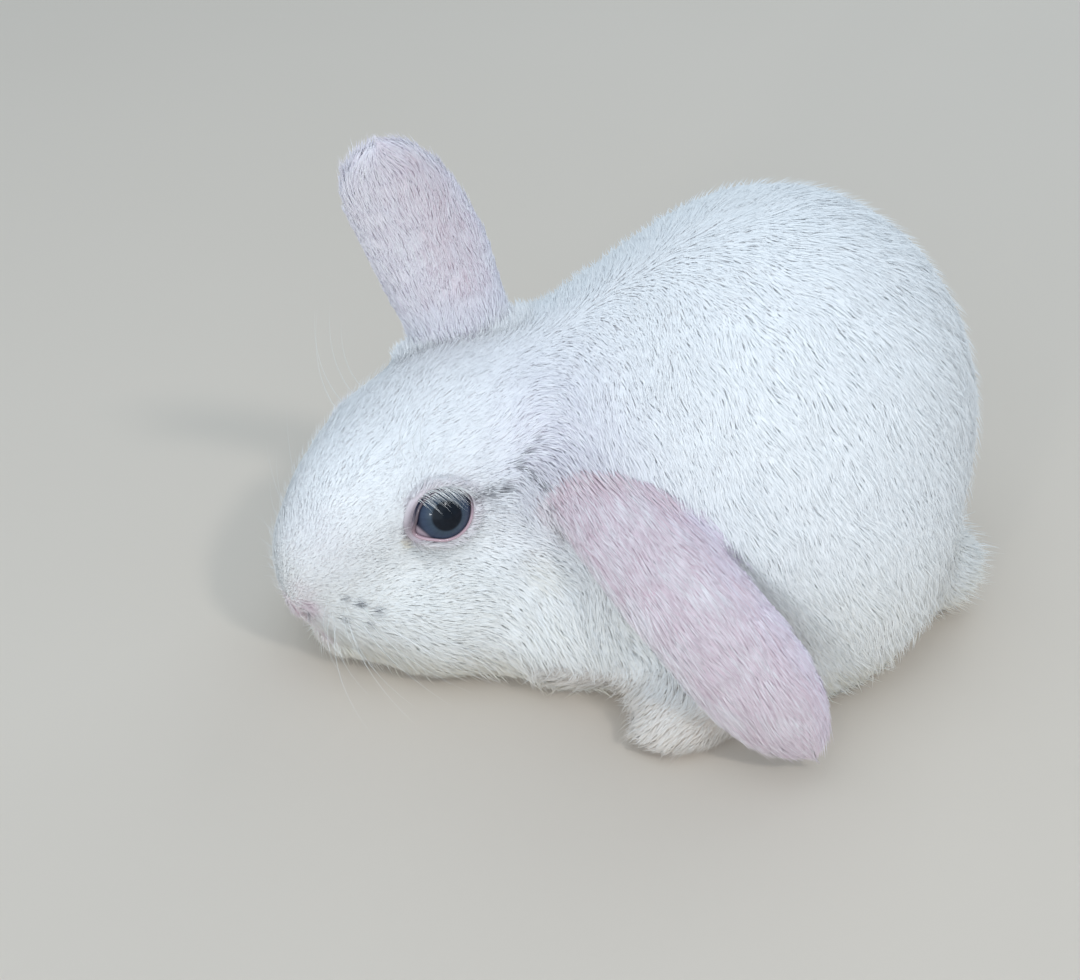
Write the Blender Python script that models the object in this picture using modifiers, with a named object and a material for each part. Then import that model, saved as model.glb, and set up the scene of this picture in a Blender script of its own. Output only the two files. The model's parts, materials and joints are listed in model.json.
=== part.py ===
"""Young lop rabbit crouched on its belly, life size, as a still museum model.

The rabbit faces -Y, its left side is +X and +Z is up. Sizes are in millimetres here and
are turned to metres when a mesh is made. The flesh is one smooth body out to the tips of
the coat: ellipsoid masses (skull, cheeks, ribs, haunches, feet) blended into one surface,
which thin cuts part into head, neck, trunk, legs and tail. The ears are lofted blades, one
raised and one hanging, and the eyes are balls set in sockets.
"""

import math

import bmesh
import bpy
import numpy as np
from mathutils import Matrix, Vector

MM = 0.001

# Driving dimensions
HEAD_LENGTH = 82.0
TRUNK_HEIGHT = 102.0
EAR_WIDTH = 28.0
EAR_THICKNESS = 4.4
EAR_CUP = 4.5
EYE_RADIUS = 8.2
EYE_PLACE = (0.0, 17.5, 1.8)
EYE_SLANT = 12.0
LID_OPENING = (7.5, 8.0, 6.3)
GAP = 0.3

# Pose of the head: the point between the eyes, its turn to the left and its nose-down pitch
HEAD_POINT = Vector((11.5, -82.0, 43.0))
HEAD_TURN = math.radians(28.0)
HEAD_PITCH = math.radians(14.0)

# Fineness of the blended surface, of the finished flesh and of the lofted ears
VOXEL = 1.7
FLESH_TRIANGLES = 4100
FIT_ROUNDS = (8, 4)
MASS_GROWTH = 2.5
EAR_RINGS = 14
EAR_SPOKES = 8
EGG_SPOKES = 18

# Fillets between masses
HEAD_BLEND = 2.4
TRUNK_BLEND = 4.6
NECK_BLEND = 5.0
GROUP_BLEND = 3.6


# Colour and roughness of the plain solids
FINISHES = {
    "fur": ((0.86, 0.87, 0.88), 0.8),
    "ear": ((0.84, 0.68, 0.72), 0.7),
    "eye": ((0.07, 0.10, 0.14), 0.08),
}


def head_axes():
    """Matrix whose columns are the head's forward, left and up directions."""
    forward = Vector((
        math.sin(HEAD_TURN) * math.cos(HEAD_PITCH),
        -math.cos(HEAD_TURN) * math.cos(HEAD_PITCH),
        -math.sin(HEAD_PITCH),
    ))
    left = Vector((math.cos(HEAD_TURN), math.sin(HEAD_TURN), 0.0))
    return Matrix((forward, left, forward.cross(left))).transposed()


HEAD_AXES = head_axes()
HEAD_UNIT = HEAD_LENGTH / 82.0
TRUNK_UNIT = TRUNK_HEIGHT / 102.0


def on_head(forward, left, up):
    """Place in the rabbit's frame of a point given along the head's own axes."""
    return HEAD_POINT + HEAD_AXES @ (Vector((forward, left, up)) * HEAD_UNIT)


class Mass:
    """An ellipsoid: its centre, its radii and the axes that they lie along."""

    def __init__(self, centre, radii, axes=None):
        self.centre = Vector(centre)
        self.radii = Vector(radii)
        self.axes = axes or Matrix.Identity(3)

    def distance(self, points):
        """Signed distance from the ellipsoid, near enough for blending."""
        local = (points - np.array(self.centre)) @ np.array(self.axes)
        radii = np.array(self.radii)
        share = np.linalg.norm(local / radii, axis=1)
        slope = np.linalg.norm(local / radii**2, axis=1)
        return share * (share - 1.0) / np.maximum(slope, 1e-6)

    def ball(self, shape, grow=0.0, across=20, along=12):
        """Adds the ellipsoid, grown by so many millimetres, to a bmesh in metres."""
        size = (self.radii + Vector((grow,) * 3)) * MM
        place = Matrix.Translation(self.centre * MM) @ self.axes.to_4x4()
        matrix = place @ Matrix.Diagonal((*size, 1.0))
        bmesh.ops.create_uvsphere(shape, u_segments=across, v_segments=along, radius=1.0, matrix=matrix)


def head_mass(centre, radii):
    """A mass placed on the head and lying along the head's axes."""
    return Mass(on_head(*centre), Vector(radii) * HEAD_UNIT, HEAD_AXES)


def trunk_mass(centre, radii, turn=0.0):
    """A mass of the trunk or a limb, turned about the vertical by the angle in degrees."""
    axes = Matrix.Rotation(math.radians(turn), 3, "Z")
    return Mass(Vector(centre) * TRUNK_UNIT, Vector(radii) * TRUNK_UNIT, axes)


def head_masses():
    """Skull, muzzle, jaw, cheeks and the roots of the ears."""
    masses = [
        head_mass((-14, 0, 1), (28, 23.5, 21)),
        head_mass((6, 0, 0), (22, 16, 18)),
        head_mass((19.5, 0, -6), (14.5, 11.5, 13.5)),
        head_mass((27, 0, -14.5), (8.5, 7.5, 10)),
        head_mass((19, 0, -31), (14, 11, 8)),
        head_mass((0, 0, -34), (26, 28, 12)),
        head_mass((-24, 0, -8), (20, 26, 24)),
    ]
    for side in (-1, 1):
        masses += [
            head_mass((18.5, 8 * side, -21), (12, 9.5, 10)),
            head_mass((-2, 16 * side, -27), (24, 16.5, 19)),
            head_mass((0, 11 * side, 3), (13, 8.5, 11)),
            head_mass((-30, 16 * side, 6), (11, 11, 11)),
        ]
    return masses


def trunk_masses():
    """Rump, ribs, shoulders, chest, belly, tail and toes, then each side's haunch and feet."""
    masses = [
        trunk_mass((0, 5, 47), (50, 47.5, 55)),
        trunk_mass((-3, -25, 39), (40, 34, 42)),
        trunk_mass((-3, -46, 30), (36, 24, 30)),
        trunk_mass((0, -4, 14), (42, 50, 22)),
        trunk_mass((14, 44, 11), (11, 13, 11)),
        trunk_mass((56.5, -22, 5.5), (8.5, 12, 7), turn=22),
        trunk_mass((-52, -20, 5.5), (8.5, 12, 7), turn=-22),
    ]
    for side in (-1, 1):
        masses += [
            trunk_mass((32 * side, 6, 28), (20, 34, 32)),
            trunk_mass((45 * side, -2, 6), (8, 24, 8), turn=22 * side),
            trunk_mass((29 * side, -42, 14), (17, 22, 18)),
            trunk_mass((13 * side, -66, 8), (8, 14, 9)),
        ]
    return masses


def neck_masses():
    """The nape and throat that join the head to the shoulders."""
    middle = (on_head(-28, 0, -10) + Vector((-2, -42, 38)) * TRUNK_UNIT) / 2
    return [Mass(middle, (26, 20, 27))]


def blended(distances, blend):
    """Smooth minimum of the rows: the masses run into each other with a fillet."""
    stack = np.stack(distances)
    low = stack.min(axis=0)
    return low - blend * np.log(np.exp((low - stack) / blend).sum(axis=0))


def flesh_field(points, groups):
    """Blended signed distance of all the flesh at each point."""
    fields = [blended([mass.distance(points) for mass in masses], blend) for masses, blend in groups]
    return blended(fields, GROUP_BLEND)


def new_object(name, mesh, collection):
    made = bpy.data.objects.new(name, mesh)
    collection.objects.link(made)
    return made


def object_from(name, shape, collection):
    """Turns a bmesh into an object and frees the bmesh."""
    mesh = bpy.data.meshes.new(name)
    shape.to_mesh(mesh)
    shape.free()
    return new_object(name, mesh, collection)


def evaluated_copy(source, name, collection):
    """A new object that holds the source's mesh with its modifiers applied."""
    graph = bpy.context.evaluated_depsgraph_get()
    mesh = bpy.data.meshes.new_from_object(source.evaluated_get(graph))
    return new_object(name, mesh, collection)


def settled(source, name, collection):
    """Replaces the source by a copy with its modifiers applied."""
    copy = evaluated_copy(source, name, collection)
    bpy.data.objects.remove(source)
    copy.name = name
    return copy


def fit_to_field(flesh, groups, rounds):
    """Draws each vertex down the field's slope onto the blended surface and evens the mesh."""
    mesh = flesh.data
    points = np.empty(len(mesh.vertices) * 3, np.float32)
    mesh.vertices.foreach_get("co", points)
    points = points.reshape(-1, 3).astype(float) / MM
    ends = np.empty(len(mesh.edges) * 2, np.int32)
    mesh.edges.foreach_get("vertices", ends)
    ends = ends.reshape(-1, 2)
    count = np.bincount(ends.ravel(), minlength=len(points))[:, None]
    step = 0.05
    for _ in range(rounds):
        total = np.zeros_like(points)
        np.add.at(total, ends[:, 0], points[ends[:, 1]])
        np.add.at(total, ends[:, 1], points[ends[:, 0]])
        points += 0.35 * (total / count - points)
        value = flesh_field(points, groups)
        slope = np.stack(
            [(flesh_field(points + step * axis, groups) - value) / step for axis in np.eye(3)], axis=1
        )
        points -= slope * (value / np.maximum((slope**2).sum(axis=1), 0.2))[:, None]
    mesh.vertices.foreach_set("co", (points * MM).astype(np.float32).ravel())
    mesh.update()


def make_flesh(collection):
    """The whole of the flesh as one closed mesh on the blended surface."""
    groups = [
        (head_masses(), HEAD_BLEND),
        (trunk_masses(), TRUNK_BLEND),
        (neck_masses(), NECK_BLEND),
    ]
    shape = bmesh.new()
    for masses, _ in groups:
        for mass in masses:
            mass.ball(shape, MASS_GROWTH)
    flesh = object_from("masses", shape, collection)
    for rounds in FIT_ROUNDS:
        remesh = flesh.modifiers.new("One skin", "REMESH")
        remesh.mode = "VOXEL"
        remesh.voxel_size = VOXEL * MM
        ease = flesh.modifiers.new("Ease", "SMOOTH")
        ease.iterations = 3
        flesh = settled(flesh, "flesh_fine", collection)
        fit_to_field(flesh, groups, rounds)
    thin = flesh.modifiers.new("Fewer faces", "DECIMATE")
    thin.ratio = FLESH_TRIANGLES / (2.0 * len(flesh.data.polygons))
    return settled(flesh, "flesh", collection)


def rest_on_floor(flesh, parts, cutters):
    """Slices off what would sink below the floor, which leaves flats at one level."""
    shape = bmesh.new()
    depth = 400.0 * MM
    bmesh.ops.create_cube(shape, size=depth, matrix=Matrix.Translation((0, 0, -depth / 2.0)))
    combine(flesh, make_cutter("below_floor", shape, cutters), "DIFFERENCE")
    return settled(flesh, "flesh", parts)


def combine(body, tool, operation):
    """Gives the body an exact Boolean with the tool."""
    cut = body.modifiers.new(operation.title(), "BOOLEAN")
    cut.operation = operation
    cut.solver = "EXACT"
    cut.object = tool


def make_cutter(name, shape, collection):
    """A cutting tool: drawn as wire and left out of renders."""
    tool = object_from(name, shape, collection)
    tool.display_type = "WIRE"
    tool.hide_render = True
    return tool


def egg(name, mass, grow, collection):
    """A cutting ellipsoid, grown by so many millimetres."""
    shape = bmesh.new()
    mass.ball(shape, grow, across=EGG_SPOKES, along=EGG_SPOKES // 2)
    return make_cutter(name, shape, collection)


def part_off(rest, name, region, parts, cutters):
    """Parts what lies in a region from the rest with a thin cut, and returns what is left."""
    piece = evaluated_copy(rest, name, parts)
    combine(piece, egg(name + "_inside", region, 0.0, cutters), "INTERSECT")
    settled(piece, name, parts)
    combine(rest, egg(name + "_cut", region, GAP, cutters), "DIFFERENCE")
    return settled(rest, "trunk", parts)


def part_regions():
    """Where the head, each leg, the tail and the neck part from the trunk, by name."""
    regions = {
        "head": head_mass((-2, 0, -6), (41, 39, 60)),
        "tail": trunk_mass((15, 55, 10), (16, 17, 18)),
    }
    for side, hand in ((1, "left"), (-1, "right")):
        regions["hindleg_" + hand] = trunk_mass((52 * side, -1, 8), (27, 43, 42))
        regions["foreleg_" + hand] = trunk_mass((24 * side, -56, 6), (19, 28, 19))
    regions["neck"] = head_mass((-34, 0, -4), (27, 34, 42))
    return regions


class EarPath:
    """A quadratic Bezier run of the ear's middle line, with the direction of its width."""

    def __init__(self, root, bend, tip, root_width, tip_width):
        self.root = Vector(root)
        self.bend = Vector(bend)
        self.tip = Vector(tip)
        self.root_width = Vector(root_width)
        self.tip_width = Vector(tip_width)

    def at(self, share):
        """Place, width direction and outward face direction at a share of the length."""
        left = 1.0 - share
        place = self.root * left * left + self.bend * 2.0 * left * share + self.tip * share * share
        run = ((self.bend - self.root) * left + (self.tip - self.bend) * share).normalized()
        width = self.root_width * left + self.tip_width * share
        width = (width - run * width.dot(run)).normalized()
        return place, width, run.cross(width)


def ear_half_width(share):
    """Half the ear's width: broadest past its middle, with a round tip."""
    swell = 0.84 + 0.16 * math.sin(math.pi * min(share / 0.55, 1.0) / 2.0)
    round_off = max(0.0, (share - 0.66) / 0.34)
    return EAR_WIDTH / 2.0 * swell * math.sqrt(max(1.0 - round_off**2.9, 0.0))


def make_ear(name, path, collection):
    """A cupped blade lofted along the path, convex on its outward face."""
    shape = bmesh.new()
    rings = []
    for ring in range(EAR_RINGS):
        share = math.sin(math.pi / 2.0 * ring / EAR_RINGS)
        place, width, outward = path.at(share)
        half = ear_half_width(share)
        thick = EAR_THICKNESS / 2.0 * (1.15 - 0.45 * share)
        cup = EAR_CUP * (half * 2.0 / EAR_WIDTH) ** 2
        loop = []
        for face in (1, -1):
            for spoke in range(EAR_SPOKES):
                across = -face * math.cos(math.pi * spoke / EAR_SPOKES)
                edge = face * math.sqrt(max(1.0 - across**4, 0.0))
                rise = cup * (0.5 - across**2) + thick * edge
                loop.append(shape.verts.new((place + width * half * across + outward * rise) * MM))
        rings.append(loop)
    for one, two in zip(rings, rings[1:]):
        bmesh.ops.bridge_loops(shape, edges=ring_edges(shape, one) + ring_edges(shape, two))
    tip = shape.verts.new(path.at(1.0)[0] * MM)
    close_fan(shape, rings[-1], tip)
    root = shape.verts.new(path.at(0.0)[0] * MM)
    close_fan(shape, rings[0], root)
    bmesh.ops.recalc_face_normals(shape, faces=shape.faces)
    return object_from(name, shape, collection)


def ring_edges(shape, loop):
    """The edges of a closed loop of vertices, made where they are missing."""
    edges = []
    for one, two in zip(loop, loop[1:] + loop[:1]):
        edges.append(shape.edges.get((one, two)) or shape.edges.new((one, two)))
    return edges


def close_fan(shape, loop, point):
    """Closes a loop with a fan of triangles round the point."""
    for one, two in zip(loop, loop[1:] + loop[:1]):
        shape.faces.new((one, two, point))


def set_eye(flesh, side, hand, parts, cutters):
    """Opens the lids and the socket in the flesh and sets the eyeball in it."""
    slant = HEAD_AXES @ Matrix.Rotation(math.radians(EYE_SLANT * side), 3, "Y")
    forward, out, up = EYE_PLACE
    lids = Mass(on_head(forward + 0.3, (out + LID_OPENING[1]) * side, up + 0.2), LID_OPENING, slant)
    combine(flesh, egg("lids_" + hand, lids, 0.0, cutters), "DIFFERENCE")
    flesh = settled(flesh, "flesh", parts)
    eye = Mass(on_head(forward, out * side, up), (EYE_RADIUS,) * 3, HEAD_AXES)
    combine(flesh, egg("socket_" + hand, eye, GAP, cutters), "DIFFERENCE")
    flesh = settled(flesh, "flesh", parts)
    shape = bmesh.new()
    eye.ball(shape, across=EGG_SPOKES, along=EGG_SPOKES // 2)
    object_from("eye_" + hand, shape, parts)
    return flesh


def paint(made, colour, roughness):
    """Gives an object its own Principled material."""
    material = bpy.data.materials.new(made.name)
    material.use_nodes = True
    shader = material.node_tree.nodes["Principled BSDF"]
    shader.inputs["Base Color"].default_value = (*colour, 1.0)
    shader.inputs["Roughness"].default_value = roughness
    shader.inputs["Metallic"].default_value = 0.0
    made.data.materials.clear()
    made.data.materials.append(material)


def centre_on_floor(parts):
    """Moves every piece so that the whole is centred over the origin and stands at zero.

    The scene keeps the shift as rabbit_shift, in metres.
    """
    corners = [vertex.co for made in parts.objects for vertex in made.data.vertices]
    low = [min(corner[axis] for corner in corners) for axis in range(3)]
    high = [max(corner[axis] for corner in corners) for axis in range(3)]
    shift = Vector((-(low[0] + high[0]) / 2.0, -(low[1] + high[1]) / 2.0, -low[2]))
    for made in parts.objects:
        made.data.transform(Matrix.Translation(shift))
    bpy.context.scene["rabbit_shift"] = shift


def new_collection(name):
    made = bpy.data.collections.new(name)
    bpy.context.scene.collection.children.link(made)
    return made


def make_ears(flesh, parts, cutters):
    """The raised right ear and the hanging left one, each cut back to clear the flesh."""
    swell = evaluated_copy(flesh, "flesh_grown", cutters)
    grow = swell.modifiers.new("Gap", "DISPLACE")
    grow.strength = GAP * MM
    grow.mid_level = 0.0
    swell = settled(swell, "flesh_grown", cutters)
    swell.display_type = "WIRE"
    swell.hide_render = True
    hanging = EarPath(on_head(-32, 18, 2), (71, -26, 51), (71, 4, 5.5), (0.1, 0.9, 0.35), (0, 0.95, 0.2))
    raised = EarPath(on_head(-31, -14, 6), (0.5, -73.5, 98), (19, -82.5, 127), (0.1, -0.9, -0.3), (0.1, -0.9, -0.3))
    for name, path in (("ear_left", hanging), ("ear_right", raised)):
        ear = make_ear(name, path, parts)
        combine(ear, swell, "DIFFERENCE")
        settled(ear, name, parts)


def main():
    for thing in list(bpy.data.objects):
        bpy.data.objects.remove(thing)
    parts = new_collection("rabbit")
    cutters = new_collection("cutters")
    flesh = rest_on_floor(make_flesh(parts), parts, cutters)
    make_ears(flesh, parts, cutters)
    for side, hand in ((1, "left"), (-1, "right")):
        flesh = set_eye(flesh, side, hand, parts, cutters)
    for name, region in part_regions().items():
        flesh = part_off(flesh, name, region, parts, cutters)
    for made in parts.objects:
        kind = made.name.split("_")[0]
        colour, roughness = FINISHES.get(kind, FINISHES["fur"])
        paint(made, colour, roughness)
    centre_on_floor(parts)


if __name__ == "__main__":
    main()
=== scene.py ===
"""Looks of a young lop rabbit lying on its belly, one ear raised and one hanging.

One skin replaces the solids of the flesh and lies inside them by the coat's depth. The coat
is made of small solid tufts that stand on the skin and follow the lie of the fur. Lids and
nose are shaped in the skin. The eyeballs, the wet edges of the lids, lashes, whiskers and
claws are pieces of their own. Lengths inside the script are millimetres, and turn to metres
when a mesh is made.
"""

import json
import logging
import math
from contextlib import contextmanager
from dataclasses import dataclass, field, fields
from enum import Enum
from typing import Any, Callable, Iterator, Sequence

import bmesh
import bpy
import numpy as np
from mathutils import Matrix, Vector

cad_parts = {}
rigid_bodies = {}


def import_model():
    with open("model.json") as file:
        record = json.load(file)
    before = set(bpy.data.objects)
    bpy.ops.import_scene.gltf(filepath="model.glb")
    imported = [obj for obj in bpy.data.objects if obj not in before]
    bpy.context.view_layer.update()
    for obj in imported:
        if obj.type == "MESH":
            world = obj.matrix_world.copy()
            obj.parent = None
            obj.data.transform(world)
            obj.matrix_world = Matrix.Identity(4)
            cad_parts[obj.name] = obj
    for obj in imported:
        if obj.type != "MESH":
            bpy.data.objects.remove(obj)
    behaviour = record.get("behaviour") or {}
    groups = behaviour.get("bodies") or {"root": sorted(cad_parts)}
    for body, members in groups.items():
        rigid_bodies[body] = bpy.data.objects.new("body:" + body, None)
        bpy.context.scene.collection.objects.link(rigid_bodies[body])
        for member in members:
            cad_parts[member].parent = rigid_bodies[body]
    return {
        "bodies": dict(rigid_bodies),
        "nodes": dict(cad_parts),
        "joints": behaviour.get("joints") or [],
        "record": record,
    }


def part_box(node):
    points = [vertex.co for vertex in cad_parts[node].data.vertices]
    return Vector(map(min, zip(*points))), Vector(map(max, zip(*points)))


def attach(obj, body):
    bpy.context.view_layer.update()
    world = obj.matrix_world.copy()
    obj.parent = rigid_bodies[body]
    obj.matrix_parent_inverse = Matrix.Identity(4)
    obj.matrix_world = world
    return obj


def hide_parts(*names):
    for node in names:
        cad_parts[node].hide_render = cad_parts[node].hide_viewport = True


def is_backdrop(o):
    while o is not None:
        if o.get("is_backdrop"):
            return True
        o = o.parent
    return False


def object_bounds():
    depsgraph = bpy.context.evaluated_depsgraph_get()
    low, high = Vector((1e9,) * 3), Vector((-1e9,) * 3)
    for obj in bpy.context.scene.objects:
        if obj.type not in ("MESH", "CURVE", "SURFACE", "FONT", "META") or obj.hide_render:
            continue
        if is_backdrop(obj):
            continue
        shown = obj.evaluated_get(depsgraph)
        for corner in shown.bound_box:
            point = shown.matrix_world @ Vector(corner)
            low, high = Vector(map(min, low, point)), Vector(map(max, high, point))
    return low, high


MM = 0.001
TURN = 2.0 * math.pi
SEED = 4127
WAVES = 14  # sine waves in one noise
PITCH = math.radians(14.0)  # how far the head looks down
EYE_ABOVE = 1.8  # height of the eyes over the middle of the head's axes, in millimetres
EAR_COAT = 0.5  # depth of the coat on the ears, in millimetres
TUFT_POINTS = 5

Array = np.ndarray
Colour = tuple[float, float, float]
Place = tuple[float, float, float]
LOG = logging.getLogger("rabbit")


# ---------------------------------------------------------------- small maths on whole arrays


def unit(vectors: Array) -> Array:
    """Vectors scaled to length one."""
    return vectors / np.maximum(np.linalg.norm(vectors, axis=-1, keepdims=True), 1e-9)


def ramp(values: Array, low: float, high: float) -> Array:
    """Smooth step from 0 at low to 1 at high: 3t^2 - 2t^3, t being the share of the way."""
    share = np.clip((values - low) / (high - low), 0.0, 1.0)
    return share * share * (3.0 - 2.0 * share)


def mix(first: Any, second: Any, weight: Any) -> Any:
    """First and second blended by the weight of the second."""
    return first + (second - first) * weight


def bell(distance: Array, width: float) -> Array:
    """A bell curve, exp(-(distance / width)^2)."""
    return np.exp(-((distance / width) ** 2))


def dot(first: Array, second: Array) -> Array:
    """Row by row scalar product."""
    return np.sum(first * second, axis=-1)


def away_from(angle: Array, middle: float) -> Array:
    """Angles as seen from a middle one, between minus and plus half a turn."""
    return np.angle(np.exp(1j * (angle - middle)))


def loop(count: int) -> Array:
    """Angles of a full turn in equal steps."""
    return np.linspace(0.0, TURN, count, endpoint=False)


def flattened(vectors: Array, normals: Array) -> Array:
    """The vectors laid in the surface whose normals are given, at length one."""
    return unit(vectors - normals * dot(vectors, normals)[..., None])


def waves(points: Array, length: float, seed: int) -> Array:
    """Smooth noise between about -1 and 1: the mean of sine waves in random directions.

    Args:
        points: places, one per row.
        length: wave length in millimetres.
        seed: the noise's own seed.

    Returns:
        One value per place.
    """
    source = np.random.default_rng(seed)
    directions = unit(source.normal(size=(WAVES, 3)))
    pitch = source.uniform(0.7, 1.5, WAVES) * TURN / length
    phase = source.uniform(0.0, TURN, WAVES)
    return np.sin((points @ directions.T) * pitch + phase).sum(axis=1) / math.sqrt(WAVES)


def lock_centres(points: Array, cell: float, seed: int) -> Array:
    """Nearest point of a shaken lattice, which the tufts of one lock lean towards.

    Args:
        points: places, one per row.
        cell: the lattice's spacing in millimetres.
        seed: number that shakes the lattice.

    Returns:
        The nearest lattice point of each place.
    """
    base = np.floor(points / cell)
    best = np.full(len(points), np.inf)
    centre = points.copy()
    keys = np.array([[12.9898, 78.233, 37.719], [39.346, 11.135, 83.155], [73.156, 52.235, 9.151]])
    for step in np.ndindex(3, 3, 3):
        corner = base + np.array(step) - 1.0
        shake = np.sin(corner @ keys.T + seed) * 43758.5453
        place = (corner + 0.1 + 0.8 * (shake - np.floor(shake))) * cell
        gap = np.sum((place - points) ** 2, axis=1)
        nearer = gap < best
        best = np.where(nearer, gap, best)
        centre = np.where(nearer[:, None], place, centre)
    return centre


# ---------------------------------------------------------------- meshes


def put_object(name: str, data: bpy.types.ID) -> bpy.types.Object:
    """A new object that holds a mesh, a light or a camera, linked to the scene.

    Args:
        name: the object's name.
        data: what it holds.

    Returns:
        The new object.
    """
    made = bpy.data.objects.new(name, data)
    bpy.context.scene.collection.objects.link(made)
    return made


def surface_object(name: str, points: Array, faces: Array) -> bpy.types.Object:
    """Makes an object of points and faces that all have the same number of corners.

    Args:
        name: the piece's name.
        points: places in millimetres.
        faces: corner numbers, one face per row.

    Returns:
        The new object, smooth shaded.
    """
    mesh = bpy.data.meshes.new(name)
    count, corners = faces.shape
    mesh.vertices.add(len(points))
    mesh.vertices.foreach_set("co", np.ascontiguousarray(points * MM, np.float32).ravel())
    mesh.loops.add(count * corners)
    mesh.loops.foreach_set("vertex_index", faces.astype(np.int32).ravel())
    mesh.polygons.add(count)
    mesh.polygons.foreach_set("loop_start", np.arange(count, dtype=np.int32) * corners)
    mesh.polygons.foreach_set("use_smooth", np.ones(count, bool))
    mesh.update(calc_edges=True)
    return put_object(name, mesh)


def read_rows(items: Any, name: str, width: int, kind: Any = np.float32) -> Array:
    """One value of a mesh's items, one row per item.

    Args:
        items: the mesh's vertices, edges or the like.
        name: the value's name.
        width: how many numbers it has.
        kind: their type.

    Returns:
        An array with one row per item.
    """
    flat = np.zeros(len(items) * width, kind)
    items.foreach_get(name, flat)
    return flat.reshape(-1, width)


def mesh_points(mesh: bpy.types.Mesh) -> Array:
    """The mesh's places in millimetres, one per row."""
    return read_rows(mesh.vertices, "co", 3).astype(float) / MM


def set_points(mesh: bpy.types.Mesh, points: Array) -> None:
    """Moves the mesh's vertices to the places given in millimetres."""
    mesh.vertices.foreach_set("co", np.ascontiguousarray(points * MM, np.float32).ravel())
    mesh.update()


def mesh_normals(mesh: bpy.types.Mesh) -> Array:
    """The normals at the mesh's vertices."""
    return read_rows(mesh.vertex_normals, "vector", 3).astype(float)


def mesh_edges(mesh: bpy.types.Mesh) -> Array:
    """The two ends of each edge."""
    return read_rows(mesh.edges, "vertices", 2, np.int32)


def mesh_triangles(mesh: bpy.types.Mesh) -> Array:
    """The corners of each triangle of the mesh."""
    mesh.calc_loop_triangles()
    return read_rows(mesh.loop_triangles, "vertices", 3, np.int32)


def lifted(made: bpy.types.Object, least: float) -> bpy.types.Object:
    """The object with all its places at a least height over the floor.

    Args:
        made: the object.
        least: the least height in millimetres.

    Returns:
        The same object.
    """
    points = mesh_points(made.data)
    points[:, 2] = np.maximum(points[:, 2], least)
    set_points(made.data, points)
    return made


@contextmanager
def edited(mesh: bpy.types.Mesh) -> Iterator[bmesh.types.BMesh]:
    """The mesh opened for edits, and written back at the end.

    Args:
        mesh: the mesh.

    Returns:
        A context that hands out the shape to edit.
    """
    shape = bmesh.new()
    shape.from_mesh(mesh)
    yield shape
    shape.to_mesh(mesh)
    shape.free()


def faced_outward(made: bpy.types.Object) -> bpy.types.Object:
    """The object with its faces turned outwards.

    Args:
        made: the object, a closed mesh.

    Returns:
        The same object.
    """
    with edited(made.data) as shape:
        bmesh.ops.recalc_face_normals(shape, faces=shape.faces)
    return made


def eased(values: Array, edges: Array, rounds: int) -> Array:
    """Evens values out over a mesh: each goes half way to the mean of its neighbours.

    Args:
        values: one row per vertex.
        edges: the mesh's edges.
        rounds: how often this is done.

    Returns:
        The evened values.
    """
    values = values.copy()
    ends = np.concatenate([edges[:, 0], edges[:, 1]])
    others = np.concatenate([edges[:, 1], edges[:, 0]])
    count = np.maximum(np.bincount(ends, minlength=len(values)), 1)
    for _ in range(rounds):
        columns = [np.bincount(ends, column[others], len(values)) for column in values.T]
        mean = np.stack(columns, axis=1) / count[:, None]
        values = mix(values, mean, 0.5)
    return values


def remeshed(parts: Sequence[bpy.types.Object], name: str, voxel: float) -> bpy.types.Object:
    """Joins closed parts that overlap into one closed surface.

    Args:
        parts: the objects, which are used up.
        name: name of the result.
        voxel: fineness in millimetres.

    Returns:
        The joined object.
    """
    bpy.ops.object.select_all(action="DESELECT")
    for part in parts:
        part.select_set(True)
    bpy.context.view_layer.objects.active = parts[0]
    if len(parts) > 1:
        bpy.ops.object.join()
    body = bpy.context.view_layer.objects.active
    body.select_set(False)
    work = body.modifiers.new("Join", "REMESH")
    work.mode = "VOXEL"
    work.voxel_size = voxel * MM
    bpy.context.view_layer.update()
    graph = bpy.context.evaluated_depsgraph_get()
    mesh = bpy.data.meshes.new_from_object(body.evaluated_get(graph))
    bpy.data.objects.remove(body)
    mesh.name = name
    mesh.materials.clear()
    return put_object(name, mesh)


def add_layer(mesh: bpy.types.Mesh, name: str, values: Array) -> None:
    """Stores one number, or one row of red, green and blue, per vertex as an attribute.

    Args:
        mesh: the mesh.
        name: the attribute's name.
        values: one number or one row per vertex.
    """
    kind, key = "FLOAT", "value"
    if values.ndim == 2:
        kind, key = "FLOAT_COLOR", "color"
        values = np.concatenate([values, np.ones((len(values), 1))], axis=1)
    layer = mesh.attributes.new(name, kind, "POINT")
    layer.data.foreach_set(key, np.ascontiguousarray(values, np.float32).ravel())


def grid_faces(rows: int, columns: int, wrap_rows: bool = False) -> Array:
    """Four-cornered faces of a grid of rows whose columns close into loops.

    Args:
        rows: number of loops.
        columns: places in each loop.
        wrap_rows: whether the last loop joins the first.

    Returns:
        Corner numbers, one face per row.
    """
    row = np.arange(rows if wrap_rows else rows - 1)[:, None]
    column = np.arange(columns)[None, :]
    after = (row + 1) % rows
    beside = (column + 1) % columns
    pairs = ((row, column), (row, beside), (after, beside), (after, column))
    corners = [np.broadcast_to(up * columns + along, (len(row), columns)) for up, along in pairs]
    return np.stack(corners, axis=-1).reshape(-1, 4)


def triangles_of(quads: Array) -> Array:
    """Each four-cornered face cut into two triangles."""
    return np.concatenate([quads[:, [0, 1, 2]], quads[:, [0, 2, 3]]])


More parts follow.
